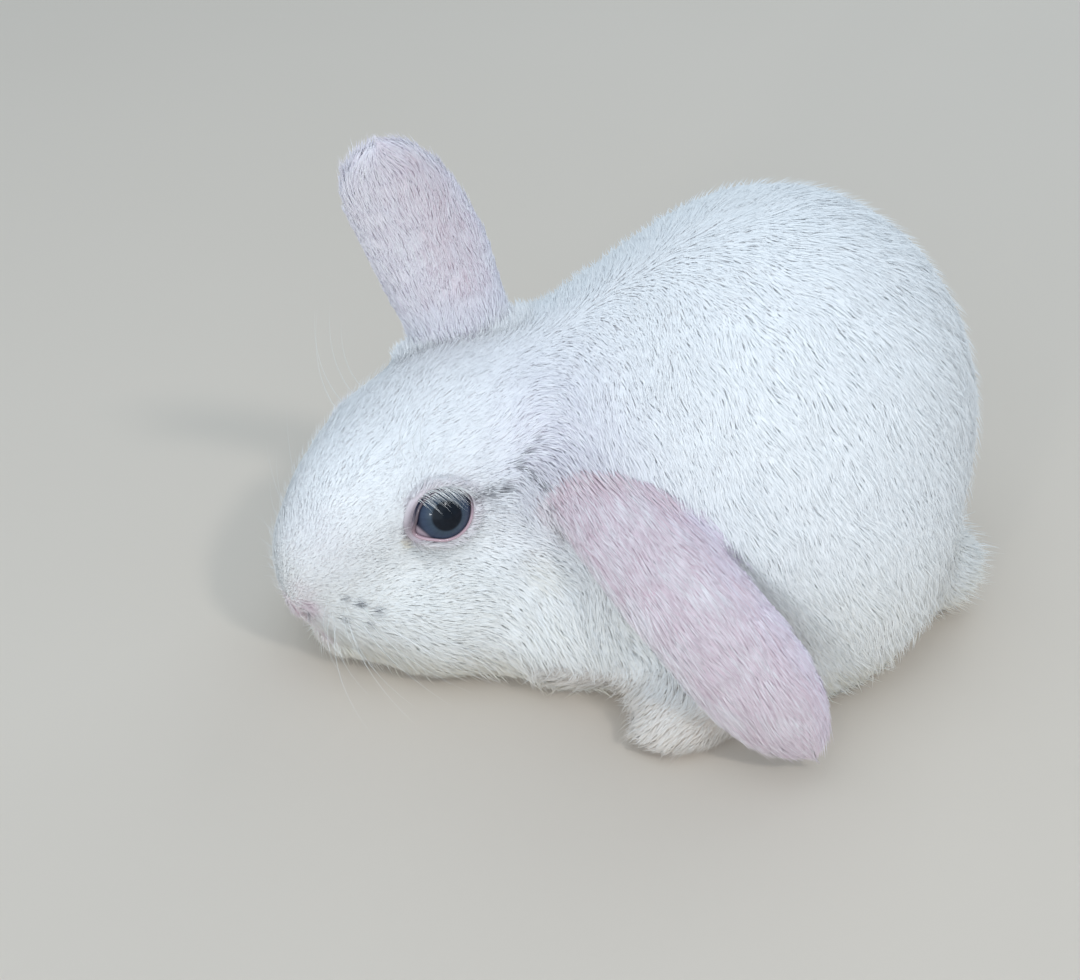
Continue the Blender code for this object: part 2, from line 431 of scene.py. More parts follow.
def capped_faces(rows: int, columns: int) -> Array:
    """Triangles of a tube of loops whose ends close in the two places that follow the loops.

    Args:
        rows: number of loops.
        columns: places in each loop.

    Returns:
        Corner numbers, one triangle per row.
    """
    around = np.arange(columns)
    beside = (around + 1) % columns
    end = rows * columns
    over = end - columns
    first = np.stack([beside, around, np.full(columns, end)], axis=1)
    last = np.stack([around + over, beside + over, np.full(columns, end + 1)], axis=1)
    return np.concatenate([triangles_of(grid_faces(rows, columns)), first, last])


def nearest(points: Array, wanted: Array) -> Array:
    """The one of the points that is nearest to the wanted place."""
    return points[np.argmin(np.linalg.norm(points - wanted, axis=1))]


def dress(piece: bpy.types.Object, material: bpy.types.Material) -> None:
    """Gives a piece its material and its body, and reports it.

    Args:
        piece: the piece.
        material: its material.
    """
    piece.data.materials.append(material)
    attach(piece, "root")
    LOG.info("%s: %d faces", piece.name, len(piece.data.polygons))


# ---------------------------------------------------------------- frames of the head and its parts


@dataclass(frozen=True)
class HeadPose:
    """The head's own axes: a place between the eyes, and forward, left and up."""

    origin: Array
    axes: Array

    @classmethod
    def from_eyes(cls) -> "HeadPose":
        """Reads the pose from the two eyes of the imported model.

        Returns:
            The head's axes.
        """
        left, right = box_centre("eye_left"), box_centre("eye_right")
        side = unit(left - right)
        level = np.cross(side, np.array([0.0, 0.0, 1.0]))
        forward = level * math.cos(PITCH) - np.array([0.0, 0.0, math.sin(PITCH)])
        above = np.cross(forward, side)
        origin = (left + right) / 2.0 - above * EYE_ABOVE
        return cls(origin, np.stack([forward, side, above]))

    def local(self, points: Array) -> Array:
        """Forward, left and up of places of the row frame."""
        return (points - self.origin) @ self.axes.T

    def place(self, forward: Any, left: Any, above: Any) -> Array:
        """Row frame place of a point given along the head's axes."""
        along = np.stack(np.broadcast_arrays(forward, left, above), axis=-1)
        return self.origin + along.astype(float) @ self.axes

    def turn(self, directions: Array) -> Array:
        """Directions given along the head's axes, in the row frame."""
        return np.asarray(directions, float) @ self.axes


def box_centre(node: str) -> Array:
    """Middle of a node's box, in millimetres."""
    low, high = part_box(node)
    return (np.array(low) + np.array(high)) / 2.0 / MM


def box_ends(node: str) -> tuple[Array, Array]:
    """Lowest and highest corner of a node's box, in millimetres."""
    low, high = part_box(node)
    return np.array(low) / MM, np.array(high) / MM


@dataclass(frozen=True)
class EyeFrame:
    """One eye: its ball, the way it looks and the opening of its lids.

    The opening is drawn in the plane across the gaze. Its edge lies at a distance from the
    middle that is an ellipse's, stretched at the front corner and a little at the back one.
    """

    hand: str
    centre: Array
    gaze: Array
    along: Array
    above: Array
    radius: float
    half_length: float = 6.25
    half_height: float = 5.75
    front_corner: float = 0.24
    back_corner: float = 0.07

    @classmethod
    def on(cls, head: HeadPose, hand: str) -> "EyeFrame":
        """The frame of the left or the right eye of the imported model.

        Args:
            head: the head's axes.
            hand: left or right.

        Returns:
            The eye's frame.
        """
        sign = 1.0 if hand == "left" else -1.0
        low, high = box_ends("eye_" + hand)
        gaze = unit(head.turn([0.11, 0.91 * sign, 0.38]))
        along = head.turn([0.974, -0.177 * sign, 0.05])
        along = flattened(along[None], gaze[None])[0]
        above = np.cross(gaze, along)
        above = above * np.sign(dot(above, head.axes[2]))
        radius = float(np.max(high - low)) / 2.0
        return cls(hand, (low + high) / 2.0, gaze, along, above, radius)

    def edge(self, angle: Array) -> Array:
        """Distance of the opening's edge from its middle, at angles from the front corner.

        It is 1 / sqrt((cos / half length)^2 + (sin / half height)^2), lowered a little at the
        upper lid and raised at the two corners by bell curves of the angle.

        Args:
            angle: angles in radians.

        Returns:
            Distances in millimetres.
        """
        across, up = np.cos(angle), np.sin(angle)
        ellipse = 1.0 / np.sqrt((across / self.half_length) ** 2 + (up / self.half_height) ** 2)
        lid = 1.0 - 0.05 * bell(away_from(angle, 1.75), 0.8)
        front = self.front_corner * bell(away_from(angle, -0.30), 0.34)
        back = self.back_corner * bell(away_from(angle, 2.95), 0.4)
        return ellipse * lid * (1.0 + front + back)

    def local(self, points: Array) -> tuple[Array, Array, Array]:
        """Angle, distance across the gaze and distance along the gaze of places.

        Args:
            points: places, one per row.

        Returns:
            The angle in radians and both distances in millimetres.
        """
        offset = points - self.centre
        across, up, out = (dot(offset, axis) for axis in (self.along, self.above, self.gaze))
        return np.arctan2(up, across), np.hypot(across, up), out

    def share(self, points: Array) -> Array:
        """Distance from the gaze as a share of the opening's; large behind the ball's middle."""
        angle, across, out = self.local(points)
        return np.where(out > -1.0, across / self.edge(angle), 9.0)

    def rim(self, angle: Array, share: float, lift: float) -> Array:
        """Places over the ball at a share of the opening's edge, lifted off the ball.

        A place stands the share of the edge's distance across the gaze, and along the gaze
        sqrt((radius + lift)^2 - across^2).

        Args:
            angle: angles from the front corner.
            share: share of the edge's distance.
            lift: height over the ball.

        Returns:
            One place per angle.
        """
        across = self.edge(angle) * share
        radius = self.radius + lift
        out = np.sqrt(np.maximum(radius**2 - across**2, 0.2))
        side = self.along * (across * np.cos(angle))[:, None]
        side = side + self.above * (across * np.sin(angle))[:, None]
        return self.centre + side + self.gaze * out[:, None]


@dataclass(frozen=True)
class EarBlade:
    """One ear: a cupped blade along a bent middle line, convex on its outward face.

    The middle line is a quadratic Bezier curve through root and tip. Across it the blade
    rises by its cup, and its thickness fades towards the two edges.

    Args:
        hand: left or right.
        root: start of the middle line.
        bend: its middle control point.
        tip: its end.
        root_width: direction of the width at the root.
        tip_width: direction of the width at the tip.
        full_width: greatest width.
        thickness: thickness of the solid at the root.
        cup: rise of the middle over the edges.
        inset: how deep the skin lies inside the solid.
        trim: how far one side of the tip slopes off, as a share.
        length: length along the middle line.
        reach: how far from the middle line a place can belong to the ear.
        layer: how far from the middle layer it can.
    """

    hand: str
    root: Array
    bend: Array
    tip: Array
    root_width: Array
    tip_width: Array
    full_width: float = 28.0
    thickness: float = 4.4
    cup: float = 4.5
    inset: float = 0.6
    trim: float = 0.0
    length: float = 75.0
    reach: float = 14.5
    layer: float = 3.6

    @classmethod
    def hanging(cls, head: HeadPose) -> "EarBlade":
        """The left ear, which hangs beside the cheek.

        Args:
            head: the head's axes.

        Returns:
            The ear.
        """
        low, high = box_ends("ear_left")
        bend = np.array([high[0] - 2.46, high[1] - 34.06, high[2] - 4.2])
        tip = np.array([high[0] - 2.46, high[1] - 4.06, low[2] + 1.2])
        root = head.place(-32.0, 18.0, 2.0)
        return cls("left", root, bend, tip, np.array([0.1, 0.9, 0.35]), np.array([0.0, 0.95, 0.2]))

    @classmethod
    def raised(cls, head: HeadPose) -> "EarBlade":
        """The right ear, which stands up.

        Args:
            head: the head's axes.

        Returns:
            The ear.
        """
        high = box_ends("ear_right")[1]
        bend = np.array([high[0] - 19.76, high[1] - 19.66, high[2] - 30.1])
        tip = np.array([high[0] - 1.26, high[1] - 28.66, high[2] - 1.1])
        width = np.array([0.1, -0.9, -0.3])
        return cls("right", head.place(-31.0, -14.0, 6.0), bend, tip, width, width, trim=0.3)

    def frames(self, share: Array) -> tuple[Array, Array, Array, Array]:
        """Place, run, width direction and outward direction at shares of the length.

        The place is root (1 - t)^2 + 2 bend (1 - t) t + tip t^2, the run is its direction,
        and the width goes evenly from the root's to the tip's, laid square to the run.

        Args:
            share: shares of the length; outside 0 to 1 the line runs straight on.

        Returns:
            The four arrays, one row per share.
        """
        inner = np.clip(share, 0.0, 1.0)[:, None]
        left = 1.0 - inner
        place = self.root * left**2 + self.bend * 2.0 * left * inner + self.tip * inner**2
        run = unit((self.bend - self.root) * left + (self.tip - self.bend) * inner)
        place = place + run * (share[:, None] - inner) * 60.0
        width = self.root_width * left + self.tip_width * inner
        width = flattened(width, run)
        return place, run, width, np.cross(run, width)

    def half_width(self, share: Array) -> Array:
        """Half the width: it swells past the middle and rounds off at the tip.

        It is half the full width times a quarter sine wave, from 0.84 at the root to 1, and
        times sqrt(1 - e^2.9), e being the share of the way through the last third.

        Args:
            share: shares of the length.

        Returns:
            Half widths in millimetres.
        """
        share = np.clip(share, 0.0, 1.0)
        swell = 0.84 + 0.16 * np.sin(math.pi * np.minimum(share / 0.55, 1.0) / 2.0)
        end = np.maximum(0.0, (share - 0.66) / 0.34)
        return self.full_width / 2.0 * swell * np.sqrt(np.maximum(1.0 - end**2.9, 0.0))

    def cut(self, share: Array, across: Array) -> Array:
        """Share of the half width that is left where one side of the tip slopes off."""
        return 1.0 - self.trim * ramp(share, 0.4, 0.95) * ramp(-across, -0.2, 0.6)

    def skin_mesh(self) -> bpy.types.Object:
        """The ear's skin: the blade drawn in by the depth of its coat, its root run into the head.

        Returns:
            The ear's object, which the skin uses up.
        """
        rows, spokes = 54, 40
        sunk, bare = np.linspace(-0.16, -0.02, 4), np.sin(np.linspace(0.0, 0.497, 50) * math.pi)
        share = np.concatenate([sunk, bare])
        place, _, width, outward = self.frames(share * np.where(share > 0.0, 0.992, 1.0))
        half = np.maximum(self.half_width(share) - self.inset, 0.5) * (1.0 + 1.2 * np.minimum(share, 0.0))
        turn = loop(spokes)
        across = -np.cos(turn)
        edge = np.sign(np.sin(turn)) * np.sqrt(np.maximum(1.0 - across**4, 0.0))
        thick = np.maximum(self.thickness / 2.0 * (1.15 - 0.45 * share) - self.inset, 0.8)
        rise = self.rise(share, across[None, :]) + thick[:, None] * edge[None, :]
        reach = half[:, None] * across * self.cut(share[:, None], across[None, :])
        points = place[:, None] + width[:, None] * reach[..., None]
        points = (points + outward[:, None] * rise[..., None]).reshape(-1, 3)
        points = np.concatenate([points, place[:1], points[-spokes:].mean(axis=0, keepdims=True)])
        return faced_outward(surface_object("ear_skin_" + self.hand, points, capped_faces(rows, spokes)))

    def rise(self, share: Array, across: Array) -> Array:
        """Rise of the middle layer: cup * (share of the full width)^2 * (0.5 - across^2)."""
        part = (self.half_width(share) * 2.0 / self.full_width) ** 2
        return self.cup * part[:, None] * (0.5 - across**2)

    def locate(self, points: Array) -> dict[str, Array]:
        """Where places lie on the blade.

        Args:
            points: places, one per row.

        Returns:
            share of the length, across from -1 to 1, off the middle layer in millimetres,
            weight of belonging to the ear, sleek where its coat is short, and lie, the
            direction to the tip that follows the outline.
        """
        steps = np.linspace(-0.1, 1.0, 111)
        place, run, width, outward = self.frames(steps)
        low, high = place.min(axis=0) - 16.0, place.max(axis=0) + 16.0
        near = np.all((points > low) & (points < high), axis=1)
        index = np.zeros(len(points), int)
        chosen = points[near]
        square = np.sum(chosen**2, axis=1)[:, None] + np.sum(place**2, axis=1) - 2.0 * chosen @ place.T
        index[near] = np.argmin(square, axis=1)
        offset = points - place[index]
        share = steps[index]
        half = np.maximum(self.half_width(share), 2.0)
        across = dot(offset, width[index]) / half
        across = across / self.cut(share, across)
        off = dot(offset, outward[index]) - self.rise(share, across[:, None])[:, 0]
        beside = np.abs(dot(offset, width[index]))
        reach = np.where(share > 0.3, self.reach, self.half_width(share) * 1.15)
        inside = (np.abs(off) < self.layer) & (beside < reach) & near & (share > -0.02)
        weight = np.where(inside, ramp(share, 0.0, 0.07), 0.0)
        sleek = weight * ramp(share, 0.05, 0.24)
        across = np.clip(across, -1.2, 1.2)
        narrowing = self.half_width(share + 0.02) - self.half_width(share - 0.02)
        narrowing = narrowing / 0.04 / self.length
        lie = run[index] + width[index] * (np.maximum(narrowing, -1.6) * across)[:, None]
        return {
            "share": share, "across": across, "off": off, "weight": weight, "sleek": sleek,
            "lie": unit(lie),
        }


# ---------------------------------------------------------------- markings and painted shade


class Tint(Enum):
    """Names of the attributes of the markings and of the painted shade, which skin and coat share."""

    PINK = "pink"
    # dark grey: markings on the face and round the eyes, and a little painted shade on the feet
    DUSK = "dusk"
    # warm cream: a stain at the eye's front corner, and painted warm shade low down, under the chin and on
    # the feet
    WARM = "warm"
    LILAC = "lilac"


# Soft spots on the head for each tint, markings and painted shade: forward, left and up of the middle,
# breadth and strength.
FACE_MARKS_AND_SHADE = {
    Tint.PINK: (
        (34.5, 0.0, -18.0, 4.2, 1.0), (33.0, 5.0, -14.8, 2.4, 0.9), (32.5, 3.0, -26.0, 2.4, 1.0),
        (32.6, 5.0, -10.0, 3.0, 0.25),
    ),
    Tint.LILAC: ((24.0, 5.0, 0.0, 9.0, 0.15),),
    Tint.DUSK: (
        (33.4, 4.2, -17.0, 0.8, 0.55), (26.2, 11.5, -12.4, 0.45, 0.6), (24.1, 13.5, -14.1, 0.6, 0.9),
        (21.8, 16.4, -16.7, 0.6, 0.6), (28.3, 11.6, -17.1, 0.5, 0.5), (24.5, 15.4, -18.6, 0.45, 0.45),
        (7.9, 19.0, 2.6, 1.6, 0.35), (6.2, 19.6, -8.9, 1.6, 0.18), (-7.6, 22.8, 3.4, 1.3, 0.50),
        (-10.0, 23.3, 3.6, 1.5, 0.60), (-13.0, 24.2, 3.4, 1.5, 0.50), (-10.0, 24.4, 0.4, 1.4, 0.30),
        (-17.4, 24.2, 7.6, 0.6, 0.70), (-19.9, 24.3, 9.3, 0.5, 0.65), (-22.6, 24.8, 11.0, 0.5, 0.60),
        (-19.4, 26.5, 6.2, 0.6, 0.75), (-20.5, 28.6, 4.2, 0.6, 0.75), (-20.0, 32.0, -0.2, 0.6, 0.45),
        (-18.7, 34.8, -6.7, 0.6, 0.35),
    ),
    # warm spots: the first is a stain at the eye's front corner; the others, under the chin, under the jaw
    # and in the hollow between cheek and ear, are painted warm shade
    Tint.WARM: (
        (10.6, 16.9, -2.2, 1.3, 1.0), (22.0, 0.0, -36.0, 12.0, 0.9), (8.0, 16.0, -38.0, 12.0, 0.7),
        (-14.0, 32.0, -18.0, 7.0, 0.85), (-10.0, 33.0, -30.0, 9.0, 0.8),
    ),
}


class MarksAndShade(dict[str, Array]):
    """Strengths of the tints at a set of places, by the tint's name: markings and painted shade."""

    def cover(self, tint: Tint, strength: Array) -> None:
        """Lets a tint cover what is weaker than it."""
        self[tint.value] = np.maximum(self[tint.value], strength)

    def fade(self, tint: Tint, share: Array) -> None:
        """Takes a share of a tint away."""
        self[tint.value] = self[tint.value] * (1.0 - share)


@dataclass(frozen=True)
class Depths:
    """Depth of the coat on each part of the body, in millimetres, in the order they apply."""

    body: float = 0.95
    head: float = 0.85
    forehead: float = 0.95
    cheek: float = 1.3
    muzzle: float = 0.8
    tail: float = 3.4
    low: float = 1.5
    foot: float = 2.0
    eye: float = 0.9
    nose: float = 0.5


@dataclass(frozen=True)
class Hide:
    """Everything that varies over the body, worked out from places and normals alone."""

    head: HeadPose
    eyes: tuple[EyeFrame, EyeFrame]
    ears: tuple[EarBlade, EarBlade]
    nose: Place = (33.5, 0.0, -19.0)
    depths: Depths = Depths()

    def regions(self, points: Array) -> dict[str, Array]:
        """Weights between 0 and 1 of the parts of the body at places.

        Args:
            points: places, one per row.

        Returns:
            A weight per place for head, muzzle, nose, eye, cheek, low, tail and foot.
        """
        local = self.head.local(points)
        ahead, side, above = local.T
        spread = np.linalg.norm(np.stack([(ahead + 2.0) / 40.0, side / 36.0, (above + 8.0) / 40.0]), axis=0)
        head = 1.0 - ramp(spread, 0.86, 1.3)
        nose = bell(np.linalg.norm(local - np.array(self.nose), axis=1), 5.5)
        eye = np.zeros(len(points))
        for one in self.eyes:
            eye = np.maximum(eye, 1.0 - ramp(np.linalg.norm(points - one.centre, axis=1), 9.5, 16.0))
        cheek = head * (1.0 - ramp(above, -14.0, -4.0)) * (1.0 - ramp(ahead, 12.0, 24.0))
        tail_low, tail_high = box_ends("tail")
        tail = bell(np.linalg.norm(points - (tail_low + tail_high) / 2.0, axis=1), 17.0)
        low = 1.0 - ramp(points[:, 2], 3.0, 22.0)
        beside = np.abs(points[:, 0] + 3.0)
        foot = ramp(beside, 36.0, 43.0) * (1.0 - ramp(points[:, 2], 9.0, 17.0))
        foot = foot * (1.0 - ramp(points[:, 1], 12.0, 34.0)) * (1.0 - head)
        return {
            "head": head, "muzzle": head * ramp(ahead, 9.0, 27.0), "nose": nose, "eye": eye,
            "cheek": cheek, "tail": tail, "low": low, "foot": foot,
        }

    def ruff(self, points: Array) -> tuple[Array, Array]:
        """Longer fur round the ears' roots: its weight and the way to the ear's tip.

        Args:
            points: places, one per row.

        Returns:
            One weight and one vector per place.
        """
        weight = np.zeros(len(points))
        way = np.zeros((len(points), 3))
        for ear in self.ears:
            place, run, width, _ = ear.frames(np.array([0.10]))
            offset = points - place
            beside = dot(offset, width)
            offset = offset - width * np.clip(beside, -10.0, 10.0)[:, None]
            near = bell(np.maximum(np.linalg.norm(offset, axis=1) - 5.0, 0.0), 4.5)
            near = near * (1.0 - ear.locate(points)["sleek"])
            way = np.where((near > weight)[:, None], run, way)
            weight = np.maximum(weight, near)
        return weight, way

    def depth(self, points: Array) -> Array:
        """Depth of the coat over the body, in millimetres, without the ears.

        Args:
            points: places, one per row.

        Returns:
            One depth per place.
        """
        part = self.regions(points)
        ahead, _, above = self.head.local(points).T
        part["forehead"] = part["head"] * ramp(above, 4.0, 16.0) * ramp(ahead, -22.0, -6.0)
        part["low"] = part["low"] * (1.0 - part["tail"])
        depth = self.depths.body
        for name in ("head", "forehead", "cheek", "muzzle", "tail", "low", "foot", "eye", "nose"):
            depth = mix(depth, getattr(self.depths, name), part[name])
        return depth

    def flow(self, points: Array, normals: Array) -> Array:
        """Lie of the fur: from nose to tail and down the sides, and along each ear to its tip.

        Args:
            points: places on the skin.
            normals: the skin's normals there.

        Returns:
            Unit vectors that lie in the skin.
        """
        part = self.regions(points)
        x, y, _ = points.T
        down = 0.4 + 0.9 * np.abs(x) / 50.0 + 1.3 * ramp(y, 34.0, 84.0)
        body = np.stack([0.024 * (x + 3.0), 0.55 + 0.6 * ramp(y, 0.0, 60.0), -down], axis=1)
        local = self.head.local(points)
        ahead = local[:, 0]
        away = unit(local - np.array([35.0, 0.0, -14.0]))
        away = away + np.array([-0.55, 0.0, 0.0]) * part["head"][:, None]
        away = away + np.array([0.25, 0.0, -1.3]) * (part["cheek"] * ramp(-ahead, -10.0, 8.0))[:, None]
        face = self.head.turn(away)
        for one in self.eyes:
            gap = points - one.centre
            push = bell(np.maximum(np.linalg.norm(gap, axis=1) - 8.0, 0.0), 4.5)
            face = face + unit(gap) * (0.9 * push)[:, None] - one.along * (0.5 * push)[:, None]
        result = mix(unit(body), unit(face), part["head"][:, None])
        tail = unit(points - (box_centre("tail") - np.array([0.0, 16.0, 2.0])))
        result = mix(result, tail, part["tail"][:, None])
        toes = np.stack([0.3 * np.sign(x), -np.ones_like(x), -0.15 * np.ones_like(x)], axis=1)
        result = mix(result, unit(toes), part["foot"][:, None])
        result = flattened(result, normals)
        for ear in self.ears:
            at = ear.locate(points)
            result = unit(mix(result, at["lie"], at["weight"][:, None]))
        return result

    def tints(self, points: Array) -> dict[str, Array]:
        """Strengths of the four tints at places on the skin: the markings, and painted shade low down and
        on the feet.

        Args:
            points: places, one per row.

        Returns:
            One strength per place for each tint's name.
        """
        local = self.head.local(points)
        result = MarksAndShade({tint.value: np.zeros(len(points)) for tint in Tint})
        for tint, tint_spots in FACE_MARKS_AND_SHADE.items():
            for *place, width, strength in tint_spots:
                near = np.linalg.norm(local - np.array(place), axis=1)
                result.cover(tint, bell(np.maximum(near - 0.5, 0.0), width) * strength)
        height = points[:, 2]
        # painted shade: the coat turns warm cream towards the floor, standing in for warm light thrown up
        # from the floor and for shade low down
        result.cover(Tint.WARM, 0.30 * (1.0 - ramp(height, 20.0, 58.0)))
        result.cover(Tint.WARM, 0.85 * (1.0 - ramp(height, 2.0, 26.0)))
        # the feet's warm cream is partly their own tone and partly painted shade from the hanging ear; the
        # dusk is painted shade, the pink their own tone
        foot = self.regions(points)["foot"]
        for tint, strength in ((Tint.WARM, 0.95), (Tint.PINK, 0.25), (Tint.DUSK, 0.05)):
            result.cover(tint, strength * foot)
        for ear in self.ears:
            self.mark_ear(result, ear, points)
        for one in self.eyes:
            angle, _, _ = one.local(points)
            front = 0.35 + 0.65 * bell(away_from(angle, 0.15), 0.9)
            ring = bell(one.share(points) - 1.14, 0.22) * front
            result.cover(Tint.PINK, ring)
            result.cover(Tint.DUSK, (0.05 + 0.52 * front) * ring)
        return result

    def mark_ear(self, result: MarksAndShade, ear: EarBlade, points: Array) -> None:
        """Adds an ear's tints: pink through the blade in blotches, and a lilac shade.

        Args:
            result: the strengths, which are changed.
            ear: the ear.
            points: the places that the strengths belong to.
        """
        blotch = 0.5 + 0.5 * waves(points, 9.0, 11)
        at = ear.locate(points)
        outer = ramp(at["off"], -0.6, 0.6)
        centre = 1.0 - ramp(np.abs(at["across"]), 0.62, 1.0)
        if ear.hand == "left":
            pink = 0.92 + 0.20 * bell(at["share"] - 0.10, 0.12) + 0.16 * ramp(at["share"], 0.72, 0.98)
            pink = pink + 0.35 * bell(at["across"] + 0.1, 0.35) * blotch
            result.cover(Tint.LILAC, 0.9 * ramp(at["across"], 0.25, 0.7) * at["weight"])
        else:
            pink = 0.20 + 0.42 * bell(at["across"] + 0.35, 0.5) * (0.6 + 0.4 * centre)
            pink = pink * ramp(at["share"], 0.1, 0.35)
            result.cover(Tint.LILAC, 0.42 * at["sleek"])
            pink = pink * (1.0 - 0.35 * ramp(at["share"], 0.75, 1.0))
        grain = np.stack([at["across"] * 13.0, at["share"] * 9.0, np.zeros(len(points))], axis=1)
        pink = pink * (1.0 + 0.18 * waves(grain, 1.3, 31))
        pink = pink * mix(0.75, 1.0, outer) * (0.85 + 0.3 * blotch) * mix(0.45, 1.0, centre)
        result.cover(Tint.PINK, np.clip(pink, 0.0, 1.0) * at["weight"])
        result.fade(Tint.WARM, 0.75 * at["weight"])
        if ear.hand == "left":
            root = np.linalg.norm(points - ear.frames(np.array([0.05]))[0][0], axis=1)
            result.cover(Tint.PINK, 0.42 * bell(root, 8.0) * (0.6 + 0.5 * blotch))
            result.cover(Tint.LILAC, 0.75 * bell(root, 17.0) * (1.0 - at["weight"]))
            result.cover(Tint.DUSK, 0.26 * bell(root, 15.0) * (1.0 - at["weight"]))


# ---------------------------------------------------------------- skin


@dataclass
class Skin:
    """One closed skin in place of all the flesh, with lids, nostrils and mouth.

    Args:
        hide: what varies over the body.
        flesh: the nodes that the skin replaces, besides the ears.
        grow: how far each copy is grown, in millimetres.
        coarse: fineness of the first joining.
        fine: fineness of the joining with the ears.
        rounds: how often the outline, its normals, the skin and the head's front are evened.
        least: lowest height of the skin over the floor.
        sunk: how deep the skin lies under an eyeball's front.
        lid: how far the lids stand over an eyeball.
        swell: how much more they do in a soft ring round the opening.
    """

    hide: Hide
    flesh: tuple[str, ...] = (
        "head", "neck", "trunk", "tail", "foreleg_left", "foreleg_right", "hindleg_left", "hindleg_right",
    )
    grow: float = 0.4
    coarse: float = 1.25
    fine: float = 1.07
    rounds: tuple[int, int, int, int] = (9, 5, 4, 24)
    least: float = 0.9
    sunk: float = 1.2
    lid: float = 0.62
    swell: float = 0.35

    def grown_copy(self, node: str, frame: dict[str, Any]) -> bpy.types.Object:
        """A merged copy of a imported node, grown a little so that it overlaps its neighbours.

        Args:
            node: the node's name.
            frame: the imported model.

        Returns:
            The copy.
        """
        mesh = frame["nodes"][node].data.copy()
        with edited(mesh) as shape:
            bmesh.ops.remove_doubles(shape, verts=shape.verts, dist=0.00002)
        mesh.materials.clear()
        set_points(mesh, mesh_points(mesh) + mesh_normals(mesh) * self.grow)
        return put_object("copy_" + node, mesh)

    def make(self, frame: dict[str, Any]) -> bpy.types.Object:
        """Builds the skin.

        The copies of the flesh are joined and evened out, drawn inwards along their normals
        by the depth of the coat, and joined to the ears. Then the face is worked on.

        Args:
            frame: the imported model.

        Returns:
            The skin's object.
        """
        nodes = [*self.flesh, *("eye_" + one.hand for one in self.hide.eyes)]
        parts = [self.grown_copy(node, frame) for node in nodes]
        outline_rounds, normal_rounds, skin_rounds, front_rounds = self.rounds
        body = remeshed(parts, "body_outline", self.coarse)
        edges = mesh_edges(body.data)
        outline = eased(mesh_points(body.data), edges, outline_rounds)
        set_points(body.data, outline)
        normals = unit(eased(mesh_normals(body.data), edges, normal_rounds))
        depth = self.hide.depth(outline) + self.grow * 0.4
        inner = outline - normals * depth[:, None]
        inner[:, 2] = np.maximum(inner[:, 2], self.least)
        set_points(body.data, inner)
        skin = remeshed([body] + [ear.skin_mesh() for ear in self.hide.ears], "skin", self.fine)
        edges = mesh_edges(skin.data)
        points = eased(mesh_points(skin.data), edges, skin_rounds)
        local = self.hide.head.local(points)
        front = ramp(local[:, 0], 0.0, 9.0) * (1.0 - ramp(local[:, 0], 27.0, 31.0))
        points = mix(points, eased(points, edges, front_rounds), front[:, None])
        set_points(skin.data, points)
        self.refine(skin)
        points = self.open_lids(mesh_points(skin.data))
        set_points(skin.data, points)
        points = self.carve_nose(points, mesh_normals(skin.data))
        set_points(skin.data, points)
        return skin

    def refine(self, skin: bpy.types.Object) -> None:
        """Cuts the faces finer round the eyes and on the muzzle, and all into triangles.

        Args:
            skin: the skin's object, which is changed.
        """
        head = self.hide.head
        mouth = np.array([31.0, 0.0, -21.0])
        with edited(skin.data) as shape:
            for reach_eye, reach_mouth in ((12.5, 15.0), (10.5, 11.0)):
                points = np.array([vertex.co for vertex in shape.verts]) / MM
                near = np.linalg.norm(head.local(points) - mouth, axis=1) < reach_mouth
                for one in self.hide.eyes:
                    _, across, out = one.local(points)
                    near |= (across < reach_eye) & (out > 0.0) & (out < 13.0)
                shape.verts.ensure_lookup_table()
                chosen = {shape.verts[index] for index in np.flatnonzero(near)}
                edges = [edge for edge in shape.edges if chosen.issuperset(edge.verts)]
                bmesh.ops.subdivide_edges(shape, edges=edges, cuts=1, use_grid_fill=True)
            bmesh.ops.triangulate(shape, faces=shape.faces)
        skin.data.update()

    def open_lids(self, points: Array) -> Array:
        """Lays the skin over each eyeball as lids, and sinks it below the ball in the opening.

        A place keeps its direction from the ball's middle. Its distance steps smoothly from
        under the ball to over it at the opening's edge, swells in a ring round the opening,
        and goes back to its own further out.

        Args:
            points: the skin's places.

        Returns:
            The moved places.
        """
        points = points.copy()
        for one in self.hide.eyes:
            offset = points - one.centre
            reach = np.linalg.norm(offset, axis=1)
            share = one.share(points)
            near = (share < 2.4) & (reach < 20.0)
            lid = mix(one.radius - self.sunk, one.radius + self.lid, ramp(share, 0.93, 1.01))
            lid = lid + self.swell * bell(share - 1.16, 0.13)
            target = mix(lid, reach, ramp(share, 1.22, 1.95))
            moved = one.centre + offset * (target / np.maximum(reach, 1e-6))[:, None]
            points = np.where(near[:, None], moved, points)
        return points

